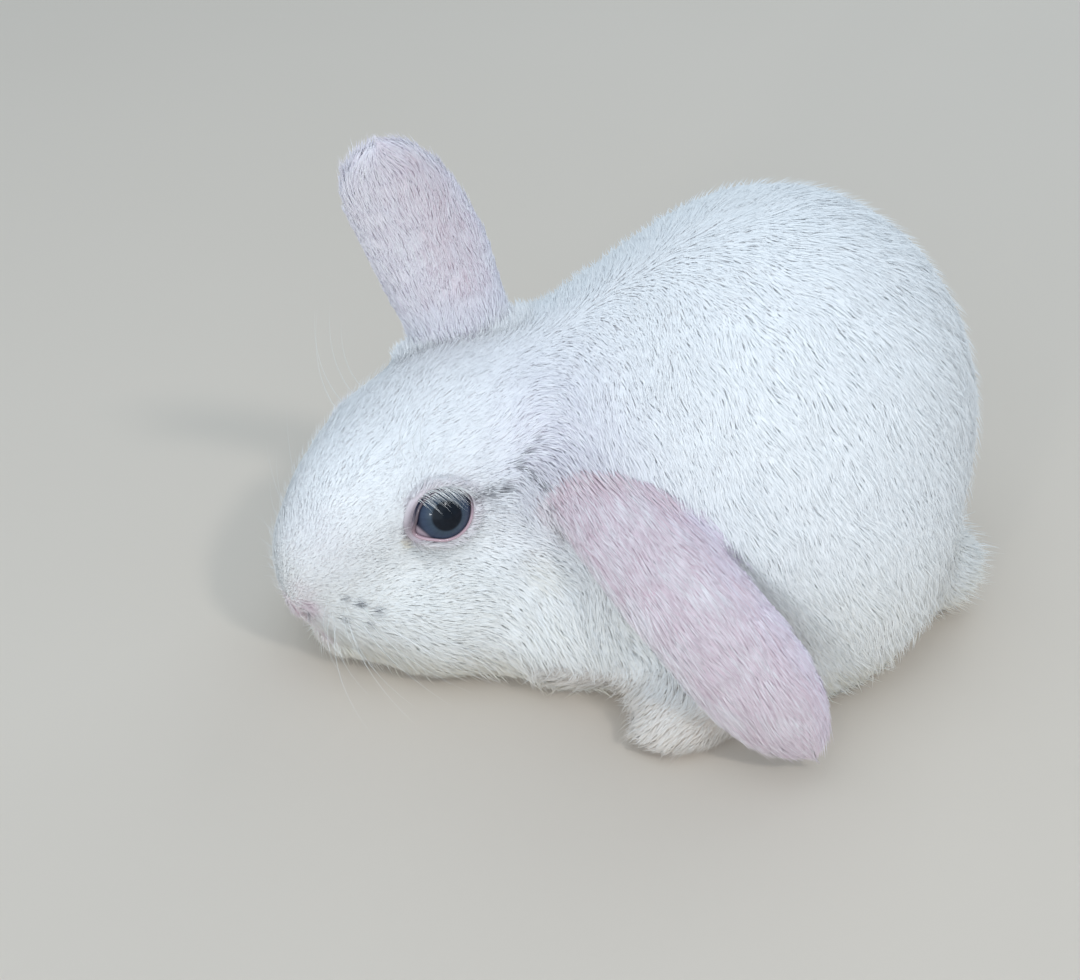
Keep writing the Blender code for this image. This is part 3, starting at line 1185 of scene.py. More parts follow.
    def carve_nose(self, points: Array, normals: Array) -> Array:
        """Presses nostrils, the groove of the lip and the line of the mouth into the muzzle.

        Each is a line drawn on the front of the head. The skin sinks along its normal by a
        depth that falls off with the distance from the line as a bell curve.

        Args:
            points: the skin's places.
            normals: its normals there.

        Returns:
            The moved places.
        """
        ahead, side, above = self.hide.head.local(points).T
        flat = np.stack([np.abs(side), above], axis=1)
        front = ramp(ahead, 22.0, 27.0)
        lines = (
            (((0.9, -20.6), (2.6, -19.6), (3.9, -17.6), (4.1, -16.4)), 0.75, 1.1),
            (((0.0, -21.0), (0.0, -26.0)), 0.55, 0.8),
            (((0.0, -26.0), (2.5, -27.6), (6.0, -28.6), (9.5, -28.0)), 0.8, 1.3),
        )
        sink = np.zeros(len(points))
        for line, width, deep in lines:
            near = np.full(len(points), np.inf)
            for start, end in zip(line, line[1:]):
                first, step = np.array(start), np.array(end) - np.array(start)
                share = np.clip((flat - first) @ step / (step @ step), 0.0, 1.0)
                near = np.minimum(near, np.linalg.norm(flat - first - share[:, None] * step, axis=1))
            sink = np.maximum(sink, deep * bell(near, width))
        pad = 0.5 * bell(np.hypot(side, (above + 18.0) * 0.9), 3.6)
        return points + normals * ((pad - sink) * front)[:, None]


# ---------------------------------------------------------------- coat


@dataclass(frozen=True)
class Fur:
    """Size of the tufts of one kind of coat.

    Args:
        density: tufts on a square millimetre.
        width: widest breadth of a tuft.
        run: how far a tuft lies along the skin, as a share of the coat's depth.
        extra: added to that, in millimetres.
        lock: how far tufts lean together into locks.
        cell: breadth of a lock.
    """

    density: float
    width: float
    run: float
    extra: float
    lock: float
    cell: float


BODY_FUR = Fur(4.4, 0.40, 0.8, 4.4, 0.10, 2.6)
HEAD_FUR = Fur(5.8, 0.31, 0.8, 2.9, 0.10, 2.0)
FACE_FUR = Fur(9.0, 0.22, 0.7, 1.9, 0.12, 1.4)
EAR_FUR = Fur(5.4, 0.23, 0.4, 5.4, 0.08, 1.5)
FOOT_FUR = Fur(6.0, 0.26, 0.8, 2.0, 0.25, 2.0)
TAIL_FUR = Fur(5.0, 0.30, 0.8, 2.6, 0.30, 3.0)


@dataclass(frozen=True)
class Groom:
    """How the tufts are shaped and how far they vary.

    Args:
        spread: how far sizes vary, as a share.
        swing: how far the lie turns in long waves, in short waves and by chance, in radians.
        guard: share of the tufts that are guard hairs.
        guard_rise: how many times as high guard hairs stand.
        guard_extra: added to that, in millimetres.
        bend_height: height of the widest place as a share of the tip's.
        bend_run: run of the widest place as a share of the tip's.
        collar: length of the fur round the ears' roots.
        sunk: how deep the root goes into the skin.
        roll: how far a tuft rolls about its own length, in radians.
        brink: how much shorter tufts stand at the ears' edges, as a share.
    """

    spread: float = 0.13
    swing: tuple[float, float, float] = (0.20, 0.10, 0.13)
    guard: float = 0.07
    guard_rise: float = 2.0
    guard_extra: float = 0.6
    bend_height: float = 0.58
    bend_run: float = 0.34
    collar: float = 6.0
    sunk: float = 0.5
    roll: float = 0.12
    brink: float = 0.5


@dataclass
class Coat:
    """The fur: closed double-pointed tufts, bent at their widest place."""

    hide: Hide
    skin: bpy.types.Object
    piece_tufts: int = 33000
    groom: Groom = Groom()

    def blended_fur(self, points: Array) -> dict[str, Array]:
        """Sizes of the tufts at places, blended from the kinds of coat.

        Args:
            points: places, one per row.

        Returns:
            A value per place for each field of Fur, for ear, the weight of the ears,
            and for brink, the weight of their edges.
        """
        part = self.hide.regions(points)
        ear = np.zeros(len(points))
        brink = np.zeros(len(points))
        for blade in self.hide.ears:
            at = blade.locate(points)
            ear = np.maximum(ear, at["sleek"])
            rim = np.maximum(ramp(np.abs(at["across"]), 0.75, 1.0), ramp(at["share"], 0.88, 1.0))
            brink = np.maximum(brink, at["weight"] * rim)
        face = np.clip(part["muzzle"] + part["eye"], 0.0, 1.0)
        steps = (
            (HEAD_FUR, part["head"]), (FACE_FUR, face), (TAIL_FUR, part["tail"]),
            (FOOT_FUR, part["foot"]), (EAR_FUR, ear),
        )
        result = {}
        for name in (entry.name for entry in fields(Fur)):
            value = np.full(len(points), getattr(BODY_FUR, name))
            for fur, weight in steps:
                value = mix(value, getattr(fur, name), weight)
            result[name] = value
        result["ear"] = ear
        result["brink"] = brink
        result["extra"] = result["extra"] * (1.0 - 0.45 * brink)
        return result

    def plant(self) -> dict[str, Array]:
        """Scatters the roots over the skin and gives each its sizes, lie and tints.

        A triangle gets a number of roots that is its area times the density there, and each
        root lies at a random place in it.

        Returns:
            Arrays with one row per tuft.
        """
        mesh = self.skin.data
        points, normals, faces = mesh_points(mesh), mesh_normals(mesh), mesh_triangles(mesh)
        middle = points[faces].mean(axis=1)
        corner, second, third = (points[faces[:, number]] for number in range(3))
        cross = np.cross(second - corner, third - corner)
        area = np.linalg.norm(cross, axis=1) / 2.0
        density = self.blended_fur(middle)["density"] * self.room(middle, unit(cross))
        source = np.random.default_rng(SEED)
        wanted = area * density
        count = np.floor(wanted + source.random(len(wanted))).astype(int)
        face = np.repeat(np.arange(len(faces)), count)
        first, second = source.random(len(face)), source.random(len(face))
        over = first + second > 1.0
        first, second = np.where(over, 1.0 - first, first), np.where(over, 1.0 - second, second)
        weights = np.stack([1.0 - first - second, first, second], axis=1)
        corners = faces[face]
        root = np.einsum("ij,ijk->ik", weights, points[corners])
        normal = unit(np.einsum("ij,ijk->ik", weights, normals[corners]))
        fur = self.blended_fur(root)
        planted = {"root": root, "normal": normal, "face": face, "weights": weights}
        planted.update(fur)
        planted["depth"] = mix(self.hide.depth(root), EAR_COAT, fur["ear"])
        planted["depth"] = planted["depth"] * (1.0 - self.groom.brink * fur["brink"])
        planted["ruff"], planted["way"] = self.hide.ruff(root)
        planted["flow"] = self.hide.flow(root, normal)
        planted.update(self.hide.tints(root))
        LOG.info("coat: %d tufts", len(root))
        return planted

    def room(self, points: Array, normals: Array) -> Array:
        """Share of the tufts that grow at places: none in the eyes, few on the nose and below.

        Args:
            points: places, one per row.
            normals: the surface's normals there.

        Returns:
            One share per place.
        """
        share = np.ones(len(points))
        for one in self.hide.eyes:
            angle, _, _ = one.local(points)
            bare = 0.36 * bell(away_from(angle, 0.20), 0.8)
            share = share * ramp(one.share(points) - bare, 1.02, 1.10)
        local = self.hide.head.local(points)
        nose = bell(np.hypot(local[:, 1], (local[:, 2] + 18.5) * 0.9), 3.0) * ramp(local[:, 0], 27.0, 30.0)
        share = share * (1.0 - 0.55 * nose)
        under = ramp(-normals[:, 2], 0.6, 0.95) * (1.0 - ramp(points[:, 2], 3.0, 9.0))
        return share * (1.0 - 0.85 * under)

    def shapes(self, planted: dict[str, Array]) -> tuple[Array, Array]:
        """Places and normals of the tufts' five points: root, left, right, under and tip.

        The tip stands over the root by the coat's depth and lies along the flow by the run.
        Tufts of one lock lean to its middle. The widest place is a little short of half way
        and higher than the straight line, so a tuft rises first and then lies down.

        Args:
            planted: the arrays of plant().

        Returns:
            Places and normals, each with five rows per tuft.
        """
        groom, root, normal = self.groom, planted["root"], planted["normal"]
        count = len(root)
        source = np.random.default_rng(SEED + 1)
        size = source.normal(1.0, groom.spread, count)
        slow, quick, loose = groom.swing
        turn = slow * waves(root, 15.0, 21) + quick * waves(root, 4.5, 22)
        turn = turn + loose * source.normal(size=count)
        turn = turn * mix(1.0, 0.45, planted["ear"]) * (1.0 - 0.5 * planted["brink"])
        side = np.cross(normal, planted["flow"])
        lie = planted["flow"] * np.cos(turn)[:, None] + side * np.sin(turn)[:, None]
        height = planted["depth"] * np.clip(size, 0.7, 1.12) * (0.97 + 0.08 * waves(root, 9.0, 23))
        stretch = np.clip(size + 0.1 * source.normal(size=count), 0.5, 1.4)
        run = (planted["depth"] * planted["run"] + planted["extra"]) * stretch
        run = run * (1.0 + 0.22 * waves(root, 7.0, 24))
        guard = (source.random(count) < groom.guard) & (planted["ear"] < 0.3) & (root[:, 2] > 4.0)
        height = np.where(guard, height * groom.guard_rise + groom.guard_extra, height)
        lock = planted["lock"] * np.clip(source.normal(1.0, 0.3, count), 0.2, 1.6)
        pull = self.pull(planted) * lock[:, None]
        tip = root + normal * height[:, None] + lie * run[:, None] + pull
        middle = root + normal * (height * groom.bend_height)[:, None]
        middle = middle + lie * (run * groom.bend_run)[:, None] + pull * 0.3
        rising = planted["way"] + 0.25 * normal + 0.14 * source.normal(size=(count, 3))
        collar = unit(rising) * (groom.collar * np.clip(size, 0.5, 1.3))[:, None]
        share = (0.9 * planted["ruff"])[:, None]
        tip = mix(tip, root + collar, share)
        middle = mix(middle, root + collar * 0.42 + normal * 0.3, share)
        foot = root - normal * groom.sunk
        for place, least in ((tip, 0.15), (middle, 0.4)):
            place[:, 2] = np.maximum(place[:, 2], least)
        along = unit(tip - foot)
        roll = source.normal(0.0, groom.roll, count)[:, None]
        top = flattened(normal, along)
        wing = np.cross(top, along)
        wing, top = wing * np.cos(roll) + top * np.sin(roll), top * np.cos(roll) - wing * np.sin(roll)
        half = planted["width"] * source.uniform(0.38, 0.62, count) * np.where(guard, 0.6, 1.0)
        half = half[:, None]
        under = middle - top * half * 0.3
        places = np.stack([foot, middle + wing * half, middle - wing * half, under, tip], axis=1)
        lean = np.stack([normal, wing, -wing, -top, along], axis=1)
        leaning = np.array([0.0, 0.22, 0.22, 0.2, 0.2])[None, :, None]
        return places, unit(normal[:, None] + lean * leaning)

    def pull(self, planted: dict[str, Array]) -> Array:
        """The way along the skin from each root to the middle of its lock.

        Args:
            planted: the arrays of plant().

        Returns:
            One vector per tuft, in millimetres.
        """
        root, normal = planted["root"], planted["normal"]
        cell = float(np.median(planted["cell"]))
        scale = (cell / planted["cell"])[:, None]
        pull = lock_centres(root * scale, cell, 5) / scale - root
        return pull - normal * dot(pull, normal)[:, None]

    def unwrap(self) -> Array:
        """The skin's own unwrap: for each triangle, its three places on the flat.

        Returns:
            Triangles by corners by two, between 0 and 1.
        """
        bpy.ops.object.select_all(action="DESELECT")
        self.skin.select_set(True)
        bpy.context.view_layer.objects.active = self.skin
        bpy.ops.object.mode_set(mode="EDIT")
        bpy.ops.mesh.select_all(action="SELECT")
        bpy.ops.uv.smart_project(angle_limit=math.radians(66.0), island_margin=0.004)
        bpy.ops.object.mode_set(mode="OBJECT")
        self.skin.select_set(False)
        layer = self.skin.data.uv_layers.active
        layer.name = "OFBake"
        return read_rows(layer.data, "uv", 2).reshape(-1, 3, 2).astype(float)

    def make(self, material: bpy.types.Material) -> None:
        """Grows the coat and cuts it into pieces by the part of the body.

        Args:
            material: the coat's material.
        """
        chart = self.unwrap()
        planted = self.plant()
        places, shaded = self.shapes(planted)
        home = np.einsum("ij,ijk->ik", planted["weights"], chart[planted["face"]])
        half = 0.0015
        across = np.array([[0.0, -half], [-half, 0.0], [half, 0.0], [0.0, -0.0005], [0.0, half]])
        chart_places = home[:, None] + across[None]
        shade = np.random.default_rng(SEED + 2).random(len(home))
        for name, slot, chosen in self.shares(planted):
            parts = max(1, math.ceil(len(chosen) / self.piece_tufts))
            for number, rows in enumerate(np.array_split(chosen, parts), 1):
                piece = self.piece(f"coat_{name}_{number}", rows, places, shaded, chart_places)
                for tint in Tint:
                    add_layer(piece.data, tint.value, np.repeat(planted[tint.value][rows], TUFT_POINTS))
                add_layer(piece.data, "shade", np.repeat(shade[rows], TUFT_POINTS))
                # reach, from root to tip, sets the painted shade at the roots and undersides
                add_layer(piece.data, "reach", np.tile([0.0, 0.5, 0.5, 0.35, 1.0], len(rows)))
                dress(piece, material)

    def shares(self, planted: dict[str, Array]) -> list[tuple[str, str, Array]]:
        """Which tufts go to which part: its name, its slot and its rows, ordered along the body.

        Args:
            planted: the arrays of plant().

        Returns:
            One entry for each part that has tufts.
        """
        root = planted["root"]
        part = self.hide.regions(root)
        group = np.where(part["head"] > 0.5, 0, 1)
        group = np.where(part["tail"] > 0.5, 2, group)
        group = np.where(part["foot"] > 0.5, 3, group)
        for number, blade in enumerate(self.hide.ears):
            group = np.where(blade.locate(root)["weight"] > 0.5, 4 + number, group)
        names = (
            ("head", "head"), ("trunk", "trunk"), ("tail", "tail"), ("feet", "hindleg_left"),
            ("ear_left", "ear_left"), ("ear_right", "ear_right"),
        )
        result = []
        for number, (name, slot) in enumerate(names):
            rows = np.flatnonzero(group == number)
            if len(rows):
                result.append((name, slot, rows[np.argsort(root[rows, 1], kind="stable")]))
        return result

    def piece(self, name: str, rows: Array, places: Array, shaded: Array, chart: Array) -> bpy.types.Object:
        """One mesh of the tufts in the rows given, with six triangles each.

        A corner's normal turns towards its triangle's own until it stands over the triangle.

        Args:
            name: the piece's name.
            rows: the tufts.
            places: the five points of every tuft.
            shaded: their normals.
            chart: their places on the flat.

        Returns:
            The piece.
        """
        pattern = np.array([[0, 2, 1], [2, 4, 1], [0, 1, 3], [1, 4, 3], [0, 3, 2], [3, 4, 2]])
        faces = (np.arange(len(rows))[:, None, None] * TUFT_POINTS + pattern).reshape(-1, 3)
        made = surface_object(name, places[rows].reshape(-1, 3), faces)
        layer = made.data.uv_layers.new(name="OFBake")
        flat = chart[rows].reshape(-1, 2)[faces.ravel()]
        layer.data.foreach_set("uv", flat.astype(np.float32).ravel())
        corners = places[rows][:, pattern]
        first, second, third = (corners[:, :, number] for number in range(3))
        facing = unit(np.cross(second - first, third - first))
        soft = shaded[rows][:, pattern]
        short = np.maximum(0.4 - np.sum(soft * facing[:, :, None], axis=-1, keepdims=True), 0.0)
        soft = unit(soft + facing[:, :, None] * short)
        made.data.normals_split_custom_set(soft.reshape(-1, 3).astype(np.float32))
        return made


# ---------------------------------------------------------------- strands


@dataclass
class Strands:
    """Long single hairs: three-sided tapered rods along curves."""

    name: str
    curves: list[Array] = field(default_factory=list)
    widths: list[float] = field(default_factory=list)

    def add(self, curve: Array, width: float) -> None:
        """Adds a hair along the places of a curve, of the given thickness at its root."""
        self.curves.append(curve)
        self.widths.append(width)

    def make(self) -> bpy.types.Object:
        """Builds the hairs: a triangle is carried along each curve and closes to a point.

        Returns:
            The hairs' object.
        """
        curves = np.stack(self.curves)
        number, steps = curves.shape[:2]
        run = unit(np.gradient(curves, axis=1))
        side = unit(np.cross(run, np.array([0.31, 0.17, 0.94])))
        above = np.cross(run, side)
        taper = np.linspace(1.0, 0.06, steps)[None, :, None] * np.array(self.widths)[:, None, None] / 2.0
        rings = [
            curves + (side * math.cos(angle) + above * math.sin(angle)) * taper for angle in loop(3)
        ]
        points = np.stack(rings, axis=2)
        body = triangles_of(grid_faces(steps, 3))
        ends = np.array([[2, 1, 0], [3 * steps - 3, 3 * steps - 2, 3 * steps - 1]])
        pattern = np.concatenate([body, ends])
        faces = (np.arange(number)[:, None, None] * 3 * steps + pattern).reshape(-1, 3)
        return faced_outward(surface_object(self.name, points.reshape(-1, 3), faces))


def arc(start: Array, heading: Array, bend: Array, length: float, steps: int) -> Array:
    """A bent line: start + heading * t + bend * t^2, t running over the length."""
    share = np.linspace(0.0, 1.0, steps)[:, None]
    return start + heading * length * share + bend * length * share**2


# ---------------------------------------------------------------- shaders


def operator_of(kind: str, reflected: bool = False) -> Callable[["Value", Any], "Value"]:
    """A method that adds a Math node of a kind on a value and another, or the other way round.

    Args:
        kind: the Math node's operation.
        reflected: whether the other value comes first.

    Returns:
        The method.
    """

    def operate(self: "Value", other: Any) -> "Value":
        """Adds the node and wraps its output."""
        pair = {0: other, 1: self} if reflected else {0: self, 1: other}
        return self.tree.node("ShaderNodeMath", {"operation": kind}, pair)

    return operate


@dataclass(eq=False)
class Value:
    """A shader socket, whose sums, differences, products and powers add Math nodes."""

    tree: "Tree"
    socket: Any

    __add__, __radd__ = operator_of("ADD"), operator_of("ADD", True)
    __sub__, __rsub__ = operator_of("SUBTRACT"), operator_of("SUBTRACT", True)
    __mul__, __rmul__ = operator_of("MULTIPLY"), operator_of("MULTIPLY", True)
    __pow__ = operator_of("POWER")


@dataclass
class Tree:
    """A material's nodes, added through one method."""

    material: bpy.types.Material

    @classmethod
    def new(cls, name: str) -> "Tree":
        """A new material with an empty tree.

        Args:
            name: the material's name.

        Returns:
            The new tree.
        """
        material = bpy.data.materials.new(name)
        material.use_nodes = True
        material.node_tree.nodes.clear()
        return cls(material)

    def node(self, kind: str, settings: dict[str, Any], inputs: dict[Any, Any], output: Any = 0) -> Value:
        """Adds a node.

        Args:
            kind: the node's type.
            settings: its properties, set first.
            inputs: a number, a colour or a Value for each socket named or numbered.
            output: the output that is handed back.

        Returns:
            The wrapped output socket.
        """
        made = self.material.node_tree.nodes.new(kind)
        for key, value in settings.items():
            setattr(made, key, value)
        for key, value in inputs.items():
            socket = made.inputs[key]
            if isinstance(value, Value):
                self.material.node_tree.links.new(value.socket, socket)
            elif isinstance(value, tuple) and len(value) == 3 and socket.type == "RGBA":
                socket.default_value = (*value, 1.0)
            else:
                socket.default_value = value
        return Value(self, made.outputs[output] if len(made.outputs) else None)

    def attribute(self, name: str, colour: bool = False) -> Value:
        """A vertex attribute as a number, or as a colour."""
        return self.node("ShaderNodeAttribute", {"attribute_name": name}, {}, "Color" if colour else "Fac")

    def place(self) -> Value:
        """Object coordinates."""
        return self.node("ShaderNodeTexCoord", {}, {}, "Object")

    def noise(self, scale: float, detail: float = 3.0) -> Value:
        """Noise of a scale, in waves to the metre."""
        inputs = {"Vector": self.place(), "Scale": scale, "Detail": detail}
        return self.node("ShaderNodeTexNoise", {}, inputs, "Fac")

    def blend(self, first: Any, second: Any, share: Any) -> Value:
        """Colour blended from the first to the second by a share."""
        inputs = {"Factor": share, 6: first, 7: second}
        return self.node("ShaderNodeMix", {"data_type": "RGBA"}, inputs, 2)

    def bump(self, height: Value, distance: float, strength: float) -> Value:
        """A normal bent by a height."""
        inputs = {"Height": height, "Distance": distance, "Strength": strength}
        return self.node("ShaderNodeBump", {}, inputs, "Normal")

    def finish(self, inputs: dict[str, Any]) -> bpy.types.Material:
        """Ends the tree in a Principled shader with these inputs.

        Args:
            inputs: the shader's inputs, as node() takes them.

        Returns:
            The material.
        """
        shader = self.node("ShaderNodeBsdfPrincipled", {}, inputs)
        self.node("ShaderNodeOutputMaterial", {}, {"Surface": shader})
        return self.material


@dataclass(frozen=True)
class FurFinish:
    """Colours of coat and skin, painted shade among them."""

    white: Colour = (0.955, 0.965, 0.98)
    # root: colour at the tufts' roots, a little darker than the tips as painted shade deep in the coat
    root: Colour = (0.95, 0.96, 0.975)
    cool: Colour = (0.84, 0.87, 0.92)
    pink: Colour = (0.76, 0.61, 0.67)
    # dark grey of the face's markings, also used as painted shade on the feet
    dusk: Colour = (0.19, 0.19, 0.21)
    # warm cream: a stain at the eye's front corner, and painted warm shade low down, under the chin and on
    # the feet
    warm: Colour = (0.84, 0.78, 0.65)
    lilac: Colour = (0.84, 0.78, 0.93)
    skin: Colour = (0.93, 0.92, 0.93)
    skin_pale: Colour = (0.95, 0.93, 0.94)
    skin_pink: Colour = (0.86, 0.68, 0.76)

    def marked(self, tree: Tree, ground: Any, pink: Colour, strength: Any) -> Value:
        """The ground colour with the markings and the painted shade over it.

        Args:
            tree: the material's tree.
            ground: the colour without markings.
            pink: the colour of the pink marking.
            strength: how strongly the markings and painted shade cover.

        Returns:
            The marked colour.
        """
        colour = ground
        layers = {Tint.WARM: self.warm, Tint.LILAC: self.lilac, Tint.PINK: pink, Tint.DUSK: self.dusk}
        for tint, over in layers.items():
            share = strength ** 2.0 * 1.3 if tint is Tint.DUSK else strength
            colour = tree.blend(colour, over, tree.attribute(tint.value) * share)
        return colour

    def coat(self) -> bpy.types.Material:
        """The tufts' material: painted shade makes it a little darker at the root and on the underside, and
        each tuft has its own random tone.

        Returns:
            The material.
        """
        tree = Tree.new("rabbit_fur")
        reach = tree.attribute("reach")
        # painted shade: the tufts darken towards the root and on the underside by their reach
        ground = tree.blend(self.root, self.white, reach * 0.8 + tree.attribute("shade") * 0.3)
        colour = self.marked(tree, ground, self.pink, 0.42 + tree.attribute("shade") * 0.8)
        colour = tree.blend(colour, self.cool, tree.noise(60.0) * 0.12)
        return tree.finish({
            "Base Color": colour, "Roughness": 0.75, "Specular IOR Level": 0.25,
            "Sheen Weight": 0.15, "Sheen Roughness": 0.5,
        })

    def hide(self) -> bpy.types.Material:
        """The skin's material, with fine creases.

        Returns:
            The material.
        """
        tree = Tree.new("rabbit_skin")
        ground = tree.blend(self.skin, self.skin_pale, tree.noise(90.0))
        colour = self.marked(tree, ground, self.skin_pink, 1.0)
        grain = tree.noise(1800.0, 4.0)
        return tree.finish({
            "Base Color": colour, "Roughness": 0.62 - grain * 0.12, "Specular IOR Level": 0.3,
            "Normal": tree.bump(grain, 0.0003, 0.5),
        })


# ---------------------------------------------------------------- eyes


@dataclass(frozen=True)
class EyeFinish:
    """Colours of the eyes, the lids' wet edges and the single hairs."""

    pupil: Colour = (0.002, 0.003, 0.006)
    iris_inner: Colour = (0.045, 0.066, 0.094)
    iris_outer: Colour = (0.042, 0.060, 0.100)
    iris_edge: Colour = (0.016, 0.018, 0.040)
    white: Colour = (0.20, 0.17, 0.20)
    inner_lid: Colour = (0.42, 0.33, 0.38)
    haze: Colour = (0.07, 0.10, 0.15)
    rim_upper: Colour = (0.10, 0.07, 0.09)
    rim_lower: Colour = (0.52, 0.35, 0.40)
    hair_shade: Colour = (0.80, 0.80, 0.80)

    def ball(self) -> bpy.types.Material:
        """Wet, dark blue-grey eye under a clear coat.

        Returns:
            The material.
        """
        tree = Tree.new("rabbit_eye")
        colour = tree.blend(tree.attribute("tint", True), self.haze, tree.noise(900.0, 4.0) * 0.12)
        return tree.finish({
            "Base Color": colour, "Roughness": 0.3, "Specular IOR Level": 0.08,
            "Coat Weight": 0.35, "Coat Roughness": 0.02, "Coat IOR": 1.38,
        })

    def rim(self) -> bpy.types.Material:
        """Lid edges: dark above, moist pink below.

        Returns:
            The material.
        """
        tree = Tree.new("rabbit_lid_rim")
        colour = tree.blend(self.rim_upper, self.rim_lower, tree.attribute("lower"))
        return tree.finish({
            "Base Color": colour, "Roughness": 0.30 + tree.noise(2000.0) * 0.1, "Coat Weight": 0.6,
            "Coat Roughness": 0.1,
        })

    def hair(self, name: str, colour: Colour) -> bpy.types.Material:
        """Single long hairs, and the claws.

        Args:
            name: the material's name.
            colour: the main colour.

        Returns:
            The material.
        """
        tree = Tree.new(name)
        shade = tree.blend(colour, self.hair_shade, tree.noise(700.0) * 0.3)
        return tree.finish({"Base Color": shade, "Roughness": 0.4, "Specular IOR Level": 0.5})


@dataclass
class Eye:
    """An eyeball with a painted iris, its wet rim and its lashes.

    Args:
        frame: the eye's place and opening.
        finish: its colours.
        iris: edge of the iris, in degrees from the gaze.
        pupil: edge of the pupil, in degrees from the gaze.
        rings: loops of the ball.
        spokes: places in each loop.
        beads: loops of the rim.
        bead_spokes: places in each of these.
        hairs: number of lashes.
    """

    frame: EyeFrame
    finish: EyeFinish
    iris: float = 49.0
    pupil: float = 24.5
    rings: int = 96
    spokes: int = 96
    beads: int = 120
    bead_spokes: int = 8
    hairs: int = 140

    def ball(self) -> bpy.types.Object:
        """The ball: a sphere about the gaze with the cornea's slight bulge at its front.

        The ball is drawn in by 0.15 mm. A place at an angle from the gaze then gains 0.45 mm
        times a bell curve of the angle.

        Returns:
            The ball's object.
        """
        one, sunk = self.frame, 0.15
        angle = np.linspace(0.0, math.pi, self.rings + 2)[1:-1]
        turn = loop(self.spokes)
        radius = one.radius - sunk + 0.45 * bell(np.degrees(angle), 42.0)
        out, across = radius * np.cos(angle), radius * np.sin(angle)
        third = np.cross(one.gaze, one.along)
        circle = one.along * np.cos(turn)[:, None] + third * np.sin(turn)[:, None]
        points = one.centre + one.gaze * out[:, None, None] + circle[None] * across[:, None, None]
        ends = one.centre + one.gaze * np.array([[one.radius + 0.3], [sunk - one.radius]])
        points = np.concatenate([points.reshape(-1, 3), ends])
        faces = capped_faces(self.rings, self.spokes)[:, ::-1]
        made = faced_outward(surface_object("eyeball_" + one.hand, points, faces))
        add_layer(made.data, "tint", self.painted(points))
        return made

    def painted(self, points: Array) -> Array:
        """Colours by the angle from the gaze: pupil, blue-grey iris, dark ring, white, inner lid.

        Args:
            points: places on the ball.

        Returns:
            One colour per place.
        """
        one, look = self.frame, self.finish
        offset = points - one.centre
        degrees = np.degrees(np.arccos(np.clip(unit(offset) @ one.gaze, -1.0, 1.0)))
        turn, _, _ = one.local(points)
        fibre = 0.5 + 0.5 * np.sin(turn * 31.0 + 1.7 * np.sin(turn * 7.0)) * np.sin(turn * 17.0 + 0.6)
        iris = mix(
            np.array(look.iris_inner), np.array(look.iris_outer),
            ramp(degrees, self.pupil + 1.0, self.iris - 12.0)[:, None],
        )
        iris = iris * (0.88 + 0.24 * fibre)[:, None]
        wedge = dot(offset, one.along) - 0.55 * dot(offset, one.above)
        steps = (
            (iris, ramp(degrees, self.pupil - 2.5, self.pupil + 2.0)),
            (look.iris_edge, ramp(degrees, self.iris - 10.0, self.iris - 1.0)),
            (look.white, ramp(degrees, self.iris + 1.5, self.iris + 6.0)),
            (look.inner_lid, ramp(wedge, 6.3, 7.2)),
        )
        colour = np.array(look.pupil)
        for tint, share in steps:
            colour = mix(colour, np.array(tint), share[:, None])
        return colour

    def rim(self) -> bpy.types.Object:
        """The wet edge of the lids: a thin round bead along the opening.

        Returns:
            The bead's object.
        """
        one = self.frame
        turn = loop(self.beads)
        middle = one.rim(turn, 1.0, 0.42)
        outward = unit(middle - one.centre)
        run = unit(np.roll(middle, -1, axis=0) - np.roll(middle, 1, axis=0))
        side = np.cross(run, outward)
        ring = loop(self.bead_spokes)
        bead = 0.34 + 0.10 * bell(away_from(turn, -0.3), 0.35)
        section = side[:, None] * np.cos(ring)[:, None] + outward[:, None] * np.sin(ring)[:, None]
        points = middle[:, None] + section * bead[:, None, None]
        faces = triangles_of(grid_faces(self.beads, self.bead_spokes, wrap_rows=True))
        made = faced_outward(surface_object("lid_rim_" + one.hand, points.reshape(-1, 3), faces))
        lower = ramp(-np.sin(turn), -0.2, 0.6)
        add_layer(made.data, "lower", np.repeat(lower, self.bead_spokes))
        return made

    def lashes(self, source: np.random.Generator) -> bpy.types.Object:
        """Pale lashes over the upper lid, which droop back over the eye.

        Args:
            source: where the random numbers come from.

        Returns:
            The lashes' object.
        """
        one = self.frame
        hairs = Strands("lashes_" + one.hand)
        turn = np.linspace(0.9, 2.75, self.hairs) + source.normal(0.0, 0.07, self.hairs)
        share = source.uniform(1.02, 1.35, self.hairs)
        forward = one.gaze * 0.8 - one.above * 0.15 - one.along * 0.45
        droop = -one.above * 0.75 - one.along * 0.15 - one.gaze * 0.35
        for angle, part in zip(turn, share):
            start = one.rim(np.array([angle]), part, 0.5)[0]
            heading = unit(forward + source.normal(0.0, 0.13, 3))
            long = 0.6 + 0.4 * float(bell(np.array(angle - 1.7), 0.7))
            hairs.add(arc(start, heading, droop, source.uniform(3.0, 6.2) * long, 6), 0.15)
        return hairs.make()


# ---------------------------------------------------------------- whiskers and claws


